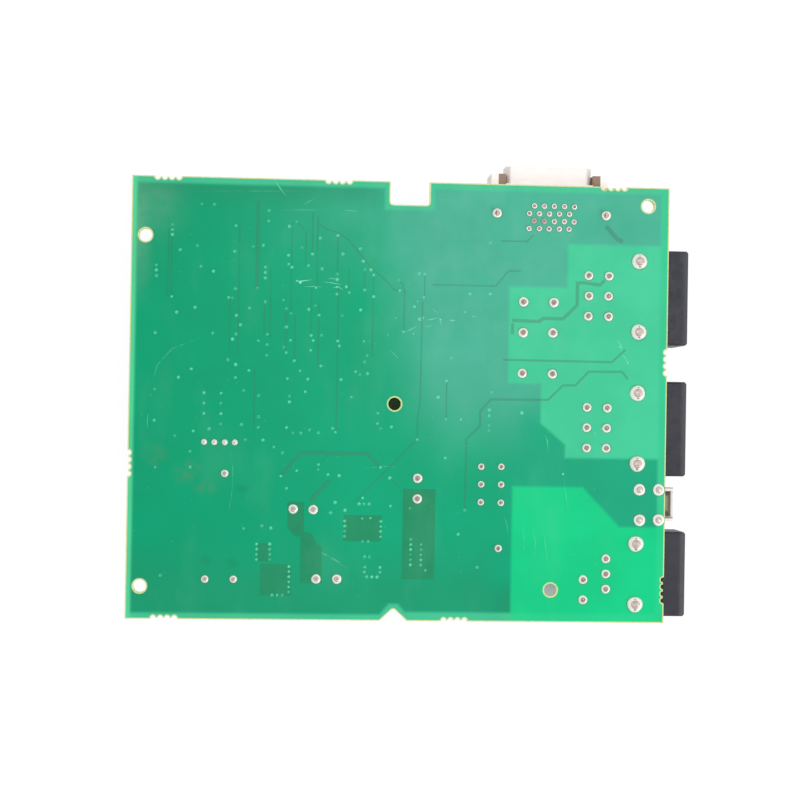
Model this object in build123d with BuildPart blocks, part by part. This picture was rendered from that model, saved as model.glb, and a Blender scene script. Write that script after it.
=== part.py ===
"""Control board of a CNC axis drive, lying on its component side with the solder side up.

Board positions are given from the board's centre: x along its long side, y towards the
edge that carries the signal connector. Heights of components are measured away from the
component side, which faces the surface that the board lies on.
"""

from build123d import *
from math import atan2, degrees
import os

os.makedirs("parts", exist_ok=True)

# ---------------------------------------------------------------- driving dimensions (mm)

board_length = 135.0
board_width = 110.0
board_thickness = 1.6
component_height = 15.0        # the tallest components, which the board lies on

header_reach = 5.5             # large power headers past the right edge
small_reach = 5.75             # the small power header past it
shell_reach = 5.0              # signal connector's shell past the upper edge

grid = 2.54                    # pin grid of the through-hole parts
mounting_hole = 3.2
mounting_sites = [(-64.0, 40.2), (-64.0, -46.9), (62.1, 50.3), (-1.4, -0.75), (38.6, -46.9)]

notch_x = 1.65                 # rectangular notch in the upper edge
notch_width = 9.9
notch_depth = 5.8
notch_corner = 0.8
vee_x = -0.95                  # vee notch in the lower edge
vee_width = 6.8
vee_depth = 2.9
vee_floor = 0.8

tab_hole = 1.2                 # break-off tabs: four drilled scallops each
tab_hole_sides = 8             # the small drillings are faceted, the mounting holes round
tab_pitch = 1.75
tab_width = 6.6
tab_step = 0.25
upper_tabs = [-58.6, -16.2, 53.4]
lower_tabs = [-57.9, 14.4]
left_tabs = [-16.5]
right_tabs = [10.8, -46.7]

lock_stub = 1.3                # board locks stand this far out of the solder side;
                               # every other pin ends at the board, under its solder

# the board's centre, set so that the origin is under the middle of the whole part
board_x = -small_reach / 2
board_y = -shell_reach / 2
solder_face = component_height + board_thickness
right_edge = board_length / 2
upper_edge = board_width / 2

away = Vector(0, 0, -1)        # away from the component side
to_right = Vector(1, 0, 0)
to_upper = Vector(0, 1, 0)


# ---------------------------------------------------------------- planes and small helpers

def place(x, y, height=0.0):
    """Point above the board position (x, y), at a height over the component side."""
    return Vector(board_x + x, board_y + y, component_height - height)


def seat(x, y, height=0.0, along=to_right):
    """Plane on the component side, normal away from the board, local x along `along`."""
    return Plane(origin=place(x, y, height), x_dir=along, z_dir=away)


def side_view(x, y, outward):
    """Plane of a side profile: local x outward, local y away from the board."""
    return Plane(origin=place(x, y), x_dir=outward, z_dir=outward.cross(away))


def front_view(x, y, outward, reach=0.0):
    """Plane across the mating face: local y away from the board, normal outward."""
    origin = place(x, y) + outward * reach
    return Plane(origin=origin, x_dir=away.cross(outward), z_dir=outward)


def save(piece, label):
    """Name a finished piece and write it to its STEP file."""
    piece.label = label
    export_step(piece, f"parts/{label}.step")


def profile(plane, *points):
    """Closed straight-sided sketch on a plane."""
    with BuildSketch(plane) as sketch:
        with BuildLine():
            Polyline(*points, close=True)
        make_face()
    return sketch.sketch


def grid_sites(x, y, pitch_x, pitch_y, count_x, count_y):
    """Sites of a rectangular pin grid centred on (x, y)."""
    return [
        (x + (column - (count_x - 1) / 2) * pitch_x, y + (row - (count_y - 1) / 2) * pitch_y)
        for row in range(count_y)
        for column in range(count_x)
    ]


# ---------------------------------------------------------------- footprints

# signal connector: four staggered rows of tails and two board locks
signal_x = 37.5
tail_rows = [5.3, 7.2, 9.1, 11.0]          # from the upper edge
lock_spacing = 27.6
lock_inset = 7.3
signal_tails = [
    (signal_x + (grid / 4 if row % 2 == 0 else -grid / 4) + (column - 2) * grid, upper_edge - inset)
    for row, inset in enumerate(tail_rows)
    for column in range(5)
]
signal_locks = grid_sites(signal_x, upper_edge - lock_inset, lock_spacing, 0, 2, 1)

# power headers: name, y, rows of contacts, pitch, housing width, height, lock spacing, key, reach
near_row = 15.2                            # rows of tails, from the right edge
far_row = 20.3
header_lock_inset = 7.4
headers = [
    ("power_header_a", 27.3, 2, 5.08, 24.0, component_height, 17.9, 1, header_reach),
    ("power_header_b", -5.95, 2, 5.08, 24.0, component_height, 17.9, -1, header_reach),
    ("power_header_c", -42.75, 1, 3.81, 21.4, 10.6, 15.24, 1, small_reach),
]

# earth terminal
earth_y = -25.2
earth_legs = grid_sites(right_edge - 4.1, earth_y, 4.9, 7.6, 2, 2)

# parts that stand on wire leads or pins
electrolytic_sites = [
    ("electrolytic_a", 4.65, -21.85, to_upper),
    ("electrolytic_b", -23.8, -27.4, to_right),
    ("electrolytic_c", -17.75, -44.7, to_right),
]
lead_pitch = 5.08
choke_centre = (34.5, 21.6)
choke_pin_sites = grid_sites(*choke_centre, 3 * grid, 3 * grid, 2, 2)
film_centre = (34.5, 7.5)
film_leads = grid_sites(*film_centre, 3 * grid, 0, 2, 1)
varistor_centre = (46.9, -46.8)
varistor_leads = grid_sites(*varistor_centre, 0, 2 * grid, 1, 2)
transformer_centre = (23.2, -20.6)
transformer_pin_sites = grid_sites(*transformer_centre, 2 * grid, 4.5, 2, 3)
stack_centre = (-44.85, -11.0)
stack_pin_sites = grid_sites(*stack_centre, grid, 0, 4, 1)
test_sites = [(25.2, -36.6), (-47.9, -45.0), (-40.9, -45.0), (-43.5, -18.75)]


def header_contacts(header):
    """Sites of one power header's tails, row by row."""
    _, y, rows, pitch, *_ = header
    insets = [near_row, far_row][:rows]
    if rows == 1:
        insets = [near_row - 0.3]
    return [(right_edge - inset, y + (way - 1) * pitch) for inset in insets for way in range(3)]


def header_locks(header):
    """Sites of one power header's two board locks."""
    spacing = header[6]
    return grid_sites(right_edge - header_lock_inset, header[1], 0, spacing, 1, 2)


def electrolytic_leads(site):
    """Sites of one electrolytic's two leads."""
    _, x, y, along = site
    half = along * (lead_pitch / 2)
    return [(x - half.X, y - half.Y), (x + half.X, y + half.Y)]


# plated holes: sites, pin section along x and y, solder joint's diameter and height
lock_holes = [(signal_locks, 0.5, 1.4, 2.4, 0.7)]
plated_holes = [
    (signal_tails, 0.4, 0.4, 1.4, 0.5),
    (earth_legs, 1.0, 0.7, 3.0, 0.9),
    (choke_pin_sites, 0.8, 0.8, 2.5, 0.9),
    (film_leads, 0.6, 0.6, 2.4, 0.9),
    (varistor_leads, 0.6, 0.6, 2.3, 0.9),
    (transformer_pin_sites, 0.6, 0.6, 1.7, 0.8),
    (stack_pin_sites, 0.5, 0.5, 1.5, 0.8),
    (test_sites, 0.8, 0.8, 1.9, 0.8),
]
for header in headers:
    plated_holes.append((header_contacts(header), 0.64, 1.4, 2.3, 0.9))
    lock_holes.append((header_locks(header), 0.8, 2.2, 4.0, 0.9))
for site in electrolytic_sites:
    plated_holes.append((electrolytic_leads(site), 0.6, 0.6, 2.4, 0.9))
plated_holes += lock_holes


# ---------------------------------------------------------------- circuit board

deck = Plane(origin=place(0, 0))


def tab_scallops(x, y, inward_x, inward_y):
    """Cut one break-off tab's stub: a shallow step, and a row of drilled scallops in it."""
    along_x = inward_x == 0
    with Locations((x, y)):
        Rectangle(
            tab_width if along_x else 2 * tab_step,
            2 * tab_step if along_x else tab_width,
            mode=Mode.SUBTRACT,
        )
    with Locations((x + inward_x * tab_step, y + inward_y * tab_step)):
        with GridLocations(tab_pitch, tab_pitch, 4 if along_x else 1, 1 if along_x else 4):
            RegularPolygon(tab_hole / 2, tab_hole_sides, rotation=22.5, mode=Mode.SUBTRACT)


with BuildPart() as circuit_board:
    with BuildSketch(deck):
        Rectangle(board_length, board_width)
        # the notches run past the edge, so only their inner corners are rounded
        with Locations((notch_x, upper_edge)):
            RectangleRounded(notch_width, 2 * notch_depth, notch_corner, mode=Mode.SUBTRACT)
        with BuildLine():
            Polyline(
                (vee_x - vee_width / 2, -upper_edge),
                (vee_x - vee_floor / 2, -upper_edge + vee_depth),
                (vee_x + vee_floor / 2, -upper_edge + vee_depth),
                (vee_x + vee_width / 2, -upper_edge),
                close=True,
            )
        make_face(mode=Mode.SUBTRACT)
        for x in upper_tabs:
            tab_scallops(x, upper_edge, 0, -1)
        for x in lower_tabs:
            tab_scallops(x, -upper_edge, 0, 1)
        for y in left_tabs:
            tab_scallops(-right_edge, y, 1, 0)
        for y in right_tabs:
            tab_scallops(right_edge, y, -1, 0)
        with Locations(mounting_sites):
            Circle(mounting_hole / 2, mode=Mode.SUBTRACT)
        # plating and solder fill the holes' clearance, so each is as large as its pin
        for sites, pin_x, pin_y, _, _ in plated_holes:
            with Locations(sites):
                Rectangle(pin_x, pin_y, mode=Mode.SUBTRACT)
    extrude(amount=board_thickness)
save(circuit_board.part, "circuit_board")


# ---------------------------------------------------------------- solder joints

# each joint is a tapered cone of solder over its pin's end, or a collar round a board lock
cone_sides = 6
cone_top = 0.45                # top of a cone, as a share of its foot
solder_side = Plane(origin=(board_x, board_y, solder_face))

with BuildPart() as solder_joints:
    for sites, _, _, diameter, height in plated_holes:
        slope = degrees(atan2(diameter / 2 * (1 - cone_top), height))
        with BuildSketch(solder_side):
            with Locations(sites):
                RegularPolygon(diameter / 2, cone_sides)
        extrude(amount=height, taper=slope)
    for sites, lock_x, lock_y, _, _ in lock_holes:
        with BuildSketch(solder_side):
            with Locations(sites):
                Rectangle(lock_x, lock_y)
        extrude(amount=lock_stub, mode=Mode.SUBTRACT)
save(solder_joints.part, "solder_joints")


# ---------------------------------------------------------------- signal connector

# a right-angle connector: plated D shell round a tongue with two rows of contacts
body_x = signal_x - 0.4        # the moulding sits a little off the middle of its tails
signal_front = front_view(body_x, upper_edge, to_upper)
signal_low = 0.3               # the moulding's faces, from the component side
signal_high = 9.7
signal_middle = (signal_low + signal_high) / 2
moulding_width = 26.0
moulding_depth = 4.6
cheek_width = 1.9
cheek_reach = 2.9
tongue_width = 16.4
tongue_thickness = 1.9
tongue_reach = 4.4
tongue_bevel = 0.3
tongue_margin = 0.8            # of the tongue beside its contacts
strip = 0.25                   # contact strips along the tongue
strip_reach = 4.0
tail_half = 0.2                # half the section of a contact's tail
flange_thickness = 0.5
shell_wall = 0.4
shell_half = 10.9              # D outline: half its width next to the board, and far from it
shell_far_half = 11.1
shell_half_height = 3.2
shell_corner = 1.3
strip_height = tongue_thickness / 2 + strip / 2
bracket_sheet = 0.6
bracket_width = 1.8
bracket_depth = 14.8
latch_slot = (1.1, 4.2)
tine_half = 0.25               # board lock: half its sheet, and half its width
tine_half_width = 0.7
tine_root = 0.3                # above the bracket's foot


def shell_outline(plane, inset):
    """D outline of the shell, drawn in by an inset."""
    low = signal_middle - shell_half_height + inset
    high = signal_middle + shell_half_height - inset
    with BuildSketch(plane) as outline:
        with BuildLine():
            Polyline(
                (inset - shell_half, low),
                (shell_half - inset, low),
                (shell_far_half - inset, high),
                (inset - shell_far_half, high),
                close=True,
            )
        make_face()
        fillet(outline.vertices(), shell_corner - inset)
    return outline.sketch


with BuildPart() as signal_contacts:
    for index, (x, y) in enumerate(signal_tails):
        tail = y - upper_edge
        row = -1 if index < 10 else 1          # the row next to the board has the nearer tails
        level = signal_middle + row * strip_height
        bent_strip = profile(
            side_view(x, upper_edge, to_upper),
            (strip_reach, level - strip / 2),
            (strip_reach, level + strip / 2),
            (tail - tail_half, level + strip / 2),
            (tail - tail_half, -board_thickness),
            (tail + tail_half, -board_thickness),
            (tail + tail_half, level - strip / 2),
        )
        extrude(bent_strip, amount=tail_half, both=True)
save(signal_contacts.part, "signal_contacts")

with BuildPart() as signal_insulator:
    with BuildSketch(signal_front.offset(-moulding_depth)):
        with Locations((0, signal_middle)):
            Rectangle(moulding_width, signal_high - signal_low)
    extrude(amount=moulding_depth)
    with BuildSketch(signal_front):
        cheek_centre = (moulding_width - cheek_width) / 2
        with Locations((-cheek_centre, signal_middle), (cheek_centre, signal_middle)):
            Rectangle(cheek_width, signal_high - signal_low)
    extrude(amount=cheek_reach)
    with BuildSketch(signal_front):
        with Locations((0, signal_middle)):
            Rectangle(tongue_width, tongue_thickness)
    extrude(amount=tongue_reach)
    tongue_tip = signal_insulator.faces().sort_by(Axis.Y)[-1]
    chamfer(tongue_tip.edges(), tongue_bevel)
    # slots through which the two rows of contacts pass
    with BuildSketch(signal_front):
        with Locations((0, signal_middle - strip_height), (0, signal_middle + strip_height)):
            Rectangle(tongue_width - 2 * tongue_margin, strip)
    extrude(amount=-moulding_depth, mode=Mode.SUBTRACT)
save(signal_insulator.part, "signal_insulator")

with BuildPart() as signal_shell:
    with BuildSketch(signal_front):
        with Locations((0, signal_middle)):
            Rectangle(moulding_width - 2 * cheek_width, signal_high - signal_low)
    extrude(amount=flange_thickness)
    extrude(shell_outline(signal_front, 0), amount=shell_reach)
    extrude(shell_outline(signal_front, shell_wall), amount=shell_reach, mode=Mode.SUBTRACT)
save(signal_shell.part, "signal_shell")


def lock_bracket(side):
    """Folded bracket at one end of the signal connector, with its board lock."""
    inner = side * moulding_width / 2
    outer = inner + side * bracket_width
    fold = outer - side * bracket_sheet
    tine = side * lock_spacing / 2
    nose = signal_front.offset(cheek_reach)
    with BuildPart() as bracket:
        angle = profile(
            nose,
            (inner, signal_low),
            (outer, signal_low),
            (outer, signal_high),
            (fold, signal_high),
            (fold, signal_low + bracket_sheet),
            (inner, signal_low + bracket_sheet),
        )
        extrude(angle, amount=-bracket_depth)
        # the end wall, with the slot that the plug's latch snaps into
        with BuildSketch(nose):
            with Locations(((inner + outer) / 2, signal_middle)):
                Rectangle(bracket_width, signal_high - signal_low)
                Rectangle(*latch_slot, mode=Mode.SUBTRACT)
        extrude(amount=-bracket_sheet)
        board_lock = profile(
            front_view(signal_x, upper_edge - lock_inset, to_upper),
            (tine - tine_half, signal_low + tine_root),
            (tine + tine_half, signal_low + tine_root),
            (tine + tine_half, -board_thickness - lock_stub),
            (tine - tine_half, -board_thickness - lock_stub),
        )
        extrude(board_lock, amount=tine_half_width, both=True)
    return bracket.part


save(lock_bracket(-1), "signal_lock_left")
save(lock_bracket(1), "signal_lock_right")


# ---------------------------------------------------------------- power headers

# right-angle headers: a keyed cavity over the board's edge, flat contacts bent down behind it
housing_depth = 13.0           # behind the board's edge
housing_wall = 1.4             # floor and roof
housing_side = 1.6             # side walls
cavity_depth = 13.4
cavity_corner = 0.7
nose_slope = (1.3, 0.45)       # bevel of the mouth next to the board: back from it, and down
far_bevel = 0.4
side_bevel = 0.5               # base's long edges and the mouth's upright ones
roof_slope = (3.5, 2.4)        # slope at the back of the roof
rib_width = 1.3                # key ribs along the cavity
rib_rise = 0.9
floor_rib = 4.6                # ribs' places, from the middle towards the key side and away
roof_rib = 7.4
latch_length = 3.0             # window in the outer wall
latch_width = 6.0
latch_centre = -1.4            # from the board's edge
lead_in = 0.6                  # groove from the mouth to the window
row_spacing = 5.08
contact_thickness = 0.64
contact_width = 1.4
contact_tip = 0.2
bend_bevel = 0.5


def header_levels(rows, height):
    """Heights of a header's rows of contacts, in the order of its rows of tails."""
    middle = height / 2
    return [middle] if rows == 1 else [middle - row_spacing / 2, middle + row_spacing / 2]


def contacts_of(header):
    """Flat contacts: straight in the cavity, bent behind the housing and down into the board."""
    name, _, rows, _, _, height, *_ = header
    half = contact_thickness / 2
    levels = header_levels(rows, height)
    with BuildPart() as contacts:
        for index, (x, y) in enumerate(header_contacts(header)):
            tail = x - right_edge
            level = levels[index // 3]
            bent = profile(
                side_view(right_edge, y, to_right),
                (contact_tip, level - half),
                (contact_tip, level + half),
                (tail - half + bend_bevel, level + half),
                (tail - half, level + half - bend_bevel),
                (tail - half, -board_thickness),
                (tail + half, -board_thickness),
                (tail + half, level - half),
            )
            extrude(bent, amount=contact_width / 2, both=True)
    save(contacts.part, name + "_contacts")
    return contacts.part


def locks_of(header):
    """Forked board locks, pressed into the housing's floor and soldered through the board."""
    prong = 1.1
    slit = 0.35
    sheet = 0.8
    tip_slope = (0.35, 0.7)
    slit_depth = 0.6
    root = housing_wall - 0.2
    tip = -board_thickness - lock_stub
    with BuildPart() as locks:
        for x, y in header_locks(header):
            fork = profile(
                front_view(x, y, to_right),
                (-prong, root),
                (prong, root),
                (prong, tip + tip_slope[1]),
                (prong - tip_slope[0], tip),
                (slit, tip),
                (slit, -slit_depth),
                (-slit, -slit_depth),
                (-slit, tip),
                (tip_slope[0] - prong, tip),
                (-prong, tip + tip_slope[1]),
            )
            extrude(fork, amount=sheet / 2, both=True)
    save(locks.part, header[0] + "_locks")
    return locks.part


def housing_of(header, contacts, locks):
    """Moulded housing: side profile, keyed cavity, latch window and slots for its metal."""
    name, y, _, _, width, height, _, key, reach = header
    middle = height / 2
    mouth = front_view(right_edge, y, to_right, reach)
    with BuildPart() as housing:
        side = profile(
            side_view(right_edge, y, to_right),
            (-housing_depth, 0),
            (reach - nose_slope[0], 0),
            (reach, nose_slope[1]),
            (reach, height - far_bevel),
            (reach - far_bevel, height),
            (roof_slope[0] - housing_depth, height),
            (-housing_depth, height - roof_slope[1]),
        )
        extrude(side, amount=width / 2, both=True)
        chamfer(housing.edges().filter_by(Axis.X).group_by(Axis.Z)[-1], side_bevel)
        chamfer(housing.edges().filter_by(Axis.Z).group_by(Axis.X)[-1], side_bevel)
        with BuildSketch(mouth) as mouth_sketch:
            with Locations((0, middle)):
                Rectangle(width - 2 * housing_side, height - 2 * housing_wall)
                chamfer(mouth_sketch.vertices(), cavity_corner)
            with Locations((key * floor_rib, housing_wall), (-key * roof_rib, height - housing_wall)):
                Rectangle(rib_width, 2 * rib_rise, mode=Mode.SUBTRACT)
        extrude(amount=-cavity_depth, mode=Mode.SUBTRACT)
        # window in the outer wall for the plug's latch, with its lead-in groove
        with BuildSketch(seat(right_edge, y, height)):
            with Locations((latch_centre, 0)):
                Rectangle(latch_length, latch_width)
        extrude(amount=-housing_wall, mode=Mode.SUBTRACT)
        with BuildSketch(mouth):
            with Locations((0, height - housing_wall)):
                Rectangle(latch_width, 2 * lead_in)
        extrude(amount=-reach, mode=Mode.SUBTRACT)
        add(contacts, mode=Mode.SUBTRACT)
        add(locks, mode=Mode.SUBTRACT)
    save(housing.part, name + "_housing")


for header in headers:
    housing_of(header, contacts_of(header), locks_of(header))


# ---------------------------------------------------------------- earth terminal

# a folded U bracket soldered by four legs, its screw facing away from the board
earth_reach = 4.0              # past the board's edge
earth_front = front_view(right_edge, earth_y, to_right, earth_reach)
earth_length = 11.4
earth_slant = 1.6              # its walls' front edges lean back towards the board
earth_half = 4.15
earth_sheet = 0.7
earth_fold = 1.0
earth_leg_width = 1.0
earth_leg_root = 0.6           # the legs run this far up into the walls
earth_height = 8.0
earth_gap = 0.4                # between its walls and the board
screw_x = right_edge + earth_reach - earth_length / 2
screw_radius = 2.0             # M4
screw_stem = 5.5
head_across_flats = 7.0
head_height = 2.8
head_slot = (9.0, 1.0, 1.4)    # length, width, depth
washer_side = 7.4
washer_corner = 1.1
washer_thickness = 0.8

with BuildPart() as earth_bracket:
    channel = profile(
        earth_front,
        (-earth_half, earth_gap),
        (-earth_half, earth_height),
        (earth_half, earth_height),
        (earth_half, earth_gap),
        (earth_half - earth_sheet, earth_gap),
        (earth_half - earth_sheet, earth_height - earth_sheet),
        (earth_sheet - earth_half, earth_height - earth_sheet),
        (earth_sheet - earth_half, earth_gap),
    )
    extrude(channel, amount=-earth_length)
    fillet(earth_bracket.edges().filter_by(Axis.X).group_by(Axis.Z)[0], earth_fold)
    lean = profile(
        side_view(right_edge, earth_y, to_right),
        (earth_reach - earth_slant, earth_gap),
        (earth_reach, earth_height - earth_fold),
        (earth_reach, earth_gap),
    )
    extrude(lean, amount=earth_half, both=True, mode=Mode.SUBTRACT)
    with BuildSketch(deck.offset(board_thickness)):
        with Locations(earth_legs):
            Rectangle(earth_leg_width, earth_sheet)
    extrude(amount=-board_thickness - earth_leg_root)
    with BuildSketch(seat(screw_x, earth_y, earth_height)):
        Circle(screw_radius)
    extrude(amount=-earth_sheet, mode=Mode.SUBTRACT)
save(earth_bracket.part, "earth_bracket")

with BuildPart() as earth_washer:
    with BuildSketch(seat(screw_x, earth_y, earth_height)) as washer_sketch:
        Rectangle(washer_side, washer_side)
        chamfer(washer_sketch.vertices(), washer_corner)
        Circle(screw_radius, mode=Mode.SUBTRACT)
    extrude(amount=washer_thickness)
save(earth_washer.part, "earth_washer")

with BuildPart() as earth_screw:
    with BuildSketch(seat(screw_x, earth_y, earth_height + washer_thickness)):
        Circle(screw_radius)
    extrude(amount=-screw_stem)
    with BuildSketch(seat(screw_x, earth_y, earth_height + washer_thickness)):
        RegularPolygon(head_across_flats / 2, 6, major_radius=False)
    extrude(amount=head_height)
    with BuildSketch(seat(screw_x, earth_y, earth_height + washer_thickness + head_height)):
        Rectangle(*head_slot[:2])
    extrude(amount=-head_slot[2], mode=Mode.SUBTRACT)
save(earth_screw.part, "earth_screw")


# ---------------------------------------------------------------- wire-ended parts

stand_off = 0.4                # seats of the wire-ended parts, over the board
wire = 0.6
disc_radius = 3.8
disc_thickness = 3.4

with BuildPart() as wire_leads:
    lead_sites = film_leads + varistor_leads
    for site in electrolytic_sites:
        lead_sites = lead_sites + electrolytic_leads(site)
    with BuildSketch(solder_side):
        with Locations(lead_sites):
            Rectangle(wire, wire)
    extrude(amount=-(board_thickness + stand_off))
    # the disc's leads run up into its coating
    with BuildSketch(deck.offset(-stand_off)):
        with Locations(varistor_leads):
            Rectangle(wire, wire)
    extrude(amount=-(disc_radius - stand_off))
save(wire_leads.part, "wire_leads")

can_radius = 5.0
can_height = 12.9
crimp_level = 2.5
crimp_half = 0.5
crimp_depth = 0.4
for name, x, y, _ in electrolytic_sites:
    with BuildPart() as electrolytic:
        can = profile(
            side_view(x, y, to_right),
            (0, stand_off),
            (can_radius, stand_off),
            (can_radius, crimp_level - crimp_half),
            (can_radius - crimp_depth, crimp_level),
            (can_radius, crimp_level + crimp_half),
            (can_radius, can_height),
            (0, can_height),
        )
        revolve(can, axis=Axis(place(x, y), away))
    save(electrolytic.part, name)

film_body = (10.4, 4.8, 9.0)   # length, width, height
film_bevel = 0.5

with BuildPart() as film_capacitor:
    with BuildSketch(seat(*film_centre, stand_off)):
        Rectangle(*film_body[:2])
    extrude(amount=film_body[2])
    chamfer(film_capacitor.faces().sort_by(Axis.Z)[0].edges(), film_bevel)
save(film_capacitor.part, "film_capacitor")

with BuildPart() as varistor:
    with BuildSketch(front_view(*varistor_centre, to_right)):
        with Locations((0, stand_off + disc_radius)):
            Circle(disc_radius)
    extrude(amount=disc_thickness / 2, both=True)
    add(wire_leads.part, mode=Mode.SUBTRACT)
save(varistor.part, "varistor")


# ---------------------------------------------------------------- common-mode choke

# two windings side by side on a closed ferrite frame, over a four-pin base
choke_pin = 0.8
choke_base_low = 0.2
choke_base_top = 1.8
choke_base_side = 14.0
choke_base_corner = 1.5
end_wall = (9.0, 1.2)          # length, thickness
end_wall_out = 5.6
frame_low = 3.6
frame_height = 3.4
frame_side = 12.6
frame_window = (5.4, 7.0)
winding_build = 1.3            # thickness of each winding round the frame's leg
winding_corner = 0.9
winding_gap = 0.2              # between a winding and the frame's yokes

with BuildPart() as choke_pins:
    with BuildSketch(solder_side):
        with Locations(choke_pin_sites):
            Rectangle(choke_pin, choke_pin)
    extrude(amount=-(board_thickness + choke_base_top))
save(choke_pins.part, "choke_pins")

with BuildPart() as choke_base:
    with BuildSketch(seat(*choke_centre, choke_base_low)) as base_sketch:
        Rectangle(choke_base_side, choke_base_side)
        chamfer(base_sketch.vertices(), choke_base_corner)
    extrude(amount=choke_base_top - choke_base_low)
    # end walls that carry the frame
    with BuildSketch(seat(*choke_centre, choke_base_top)):
        with Locations((0, -end_wall_out), (0, end_wall_out)):
            Rectangle(*end_wall)
    extrude(amount=frame_low - choke_base_top)
    add(choke_pins.part, mode=Mode.SUBTRACT)
save(choke_base.part, "choke_base")

with BuildPart() as choke_core:
    with BuildSketch(seat(*choke_centre, frame_low)):
        Rectangle(frame_side, frame_side)
        Rectangle(*frame_window, mode=Mode.SUBTRACT)
    extrude(amount=frame_height)
save(choke_core.part, "choke_core")

with BuildPart() as choke_windings:
    leg = (frame_side - frame_window[0]) / 2
    leg_x = (frame_side - leg) / 2
    middle = frame_low + frame_height / 2
    with BuildSketch(front_view(*choke_centre, to_upper)) as coil_section:
        with Locations((-leg_x, middle), (leg_x, middle)):
            Rectangle(leg + 2 * winding_build, frame_height + 2 * winding_build)
        chamfer(coil_section.vertices(), winding_corner)
    extrude(amount=frame_window[1] / 2 - winding_gap, both=True)
    add(choke_core.part, mode=Mode.SUBTRACT)
save(choke_windings.part, "choke_windings")


# ---------------------------------------------------------------- transformer

# a six-pin bobbin on its base, its winding between two flanges, inside a ferrite frame
bobbin_pin = 0.6
bobbin_base = (9.8, 12.8)
bobbin_base_low = 0.3
bobbin_base_top = 2.4
core_thickness = 4.6
core_width = 12.4
core_low = bobbin_base_top
core_high = 10.4
core_leg = 3.6
core_yoke = 1.6
spool_wall = 0.5
flange = 0.5
flange_width = 8.8             # of the spool's flanges, across the frame
turn_inset = (0.4, 0.25)       # winding's outside, in from the flanges' edges
turn_corner = 1.4

with BuildPart() as transformer_pins:
    with BuildSketch(solder_side):
        with Locations(transformer_pin_sites):
            Rectangle(bobbin_pin, bobbin_pin)
    extrude(amount=-(board_thickness + bobbin_base_top))
save(transformer_pins.part, "transformer_pins")

frame_view = side_view(*transformer_centre, to_upper)
window_low = core_low + core_yoke
window_high = core_high - core_yoke
window_far = core_width / 2 - core_yoke
window_near = core_leg / 2

with BuildPart() as transformer_core:
    with BuildSketch(frame_view):
        with Locations((0, (core_low + core_high) / 2)):
            Rectangle(core_width, core_high - core_low)
            window_centre = (window_far + window_near) / 2
            with Locations((-window_centre, 0), (window_centre, 0)):
                Rectangle(window_far - window_near, window_high - window_low, mode=Mode.SUBTRACT)
    extrude(amount=core_thickness / 2, both=True)
save(transformer_core.part, "transformer_core")

with BuildPart() as transformer_winding:
    with BuildSketch(seat(*transformer_centre, window_low + flange)) as turn:
        Rectangle(flange_width - 2 * turn_inset[0], 2 * (window_far - turn_inset[1]))
        chamfer(turn.vertices(), turn_corner)
        Rectangle(
            core_thickness + 2 * spool_wall, core_leg + 2 * spool_wall, mode=Mode.SUBTRACT
        )
    extrude(amount=window_high - window_low - 2 * flange)
save(transformer_winding.part, "transformer_winding")

with BuildPart() as transformer_bobbin:
    with BuildSketch(seat(*transformer_centre, bobbin_base_low)):
        Rectangle(*bobbin_base)
    extrude(amount=bobbin_base_top - bobbin_base_low)
    # cheeks from the base up to the spool, either side of the lower yoke
    cheek = (flange_width - core_thickness) / 2
    cheek_x = (flange_width - cheek) / 2
    with BuildSketch(seat(*transformer_centre, bobbin_base_top)):
        with Locations((-cheek_x, 0), (cheek_x, 0)):
            Rectangle(cheek, 2 * window_far)
    extrude(amount=window_low - bobbin_base_top)
    for level in (window_low, window_high - flange):
        with BuildSketch(seat(*transformer_centre, level)):
            Rectangle(flange_width, 2 * window_far)
        extrude(amount=flange)
    with BuildSketch(seat(*transformer_centre, window_low)):
        Rectangle(core_thickness + 2 * spool_wall, core_leg + 2 * spool_wall)
    extrude(amount=window_high - window_low)
    add(transformer_core.part, mode=Mode.SUBTRACT)
    add(transformer_pins.part, mode=Mode.SUBTRACT)
save(transformer_bobbin.part, "transformer_bobbin")


# ---------------------------------------------------------------- stacking socket, test posts

# the socket is as tall as the large headers, and is the part's third foot
stack_length = 4 * grid + 0.4
stack_width = 5.0
socket_throat = 0.8            # square openings for the mating pins
throat_depth = 7.0
contact_root = 6.0             # height of the sockets' contacts inside the moulding
stack_pin = 0.5
stack_corner = 0.5
post_size = 0.8
post_height = 5.5

with BuildPart() as stack_contacts:
    with BuildSketch(solder_side):
        with Locations(stack_pin_sites):
            Rectangle(stack_pin, stack_pin)
    extrude(amount=-(board_thickness + contact_root))
save(stack_contacts.part, "stack_contacts")

with BuildPart() as stack_socket:
    with BuildSketch(seat(*stack_centre)) as socket_sketch:
        Rectangle(stack_length, stack_width)
        chamfer(socket_sketch.vertices(), stack_corner)
    extrude(amount=component_height)
    with BuildSketch(seat(*stack_centre, component_height)):
        with GridLocations(grid, 0, 4, 1):
            Rectangle(socket_throat, socket_throat)
    extrude(amount=-throat_depth, mode=Mode.SUBTRACT)
    add(stack_contacts.part, mode=Mode.SUBTRACT)
save(stack_socket.part, "stack_socket")

with BuildPart() as test_posts:
    with BuildSketch(solder_side):
        with Locations(test_sites):
            Rectangle(post_size, post_size)
    extrude(amount=-(board_thickness + post_height))
save(test_posts.part, "test_posts")


# ---------------------------------------------------------------- surface-mounted parts

# sites are (x, y, turn): the turn is the package's long axis from the board's, in degrees
processor_site = (-32.0, 22.0, 0)
gate_array_site = (-5.0, 20.0, 0)
memory_site = (-5.0, 38.0, 0)
logic_sites = [(14.0, 38.0, 0), (-55.0, 20.0, 90)]
optocoupler_sites = [(41.5, 1.0 - 4.5 * row, 90) for row in range(4)]
controller_site = (-6.4, -42.0, 0)

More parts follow.
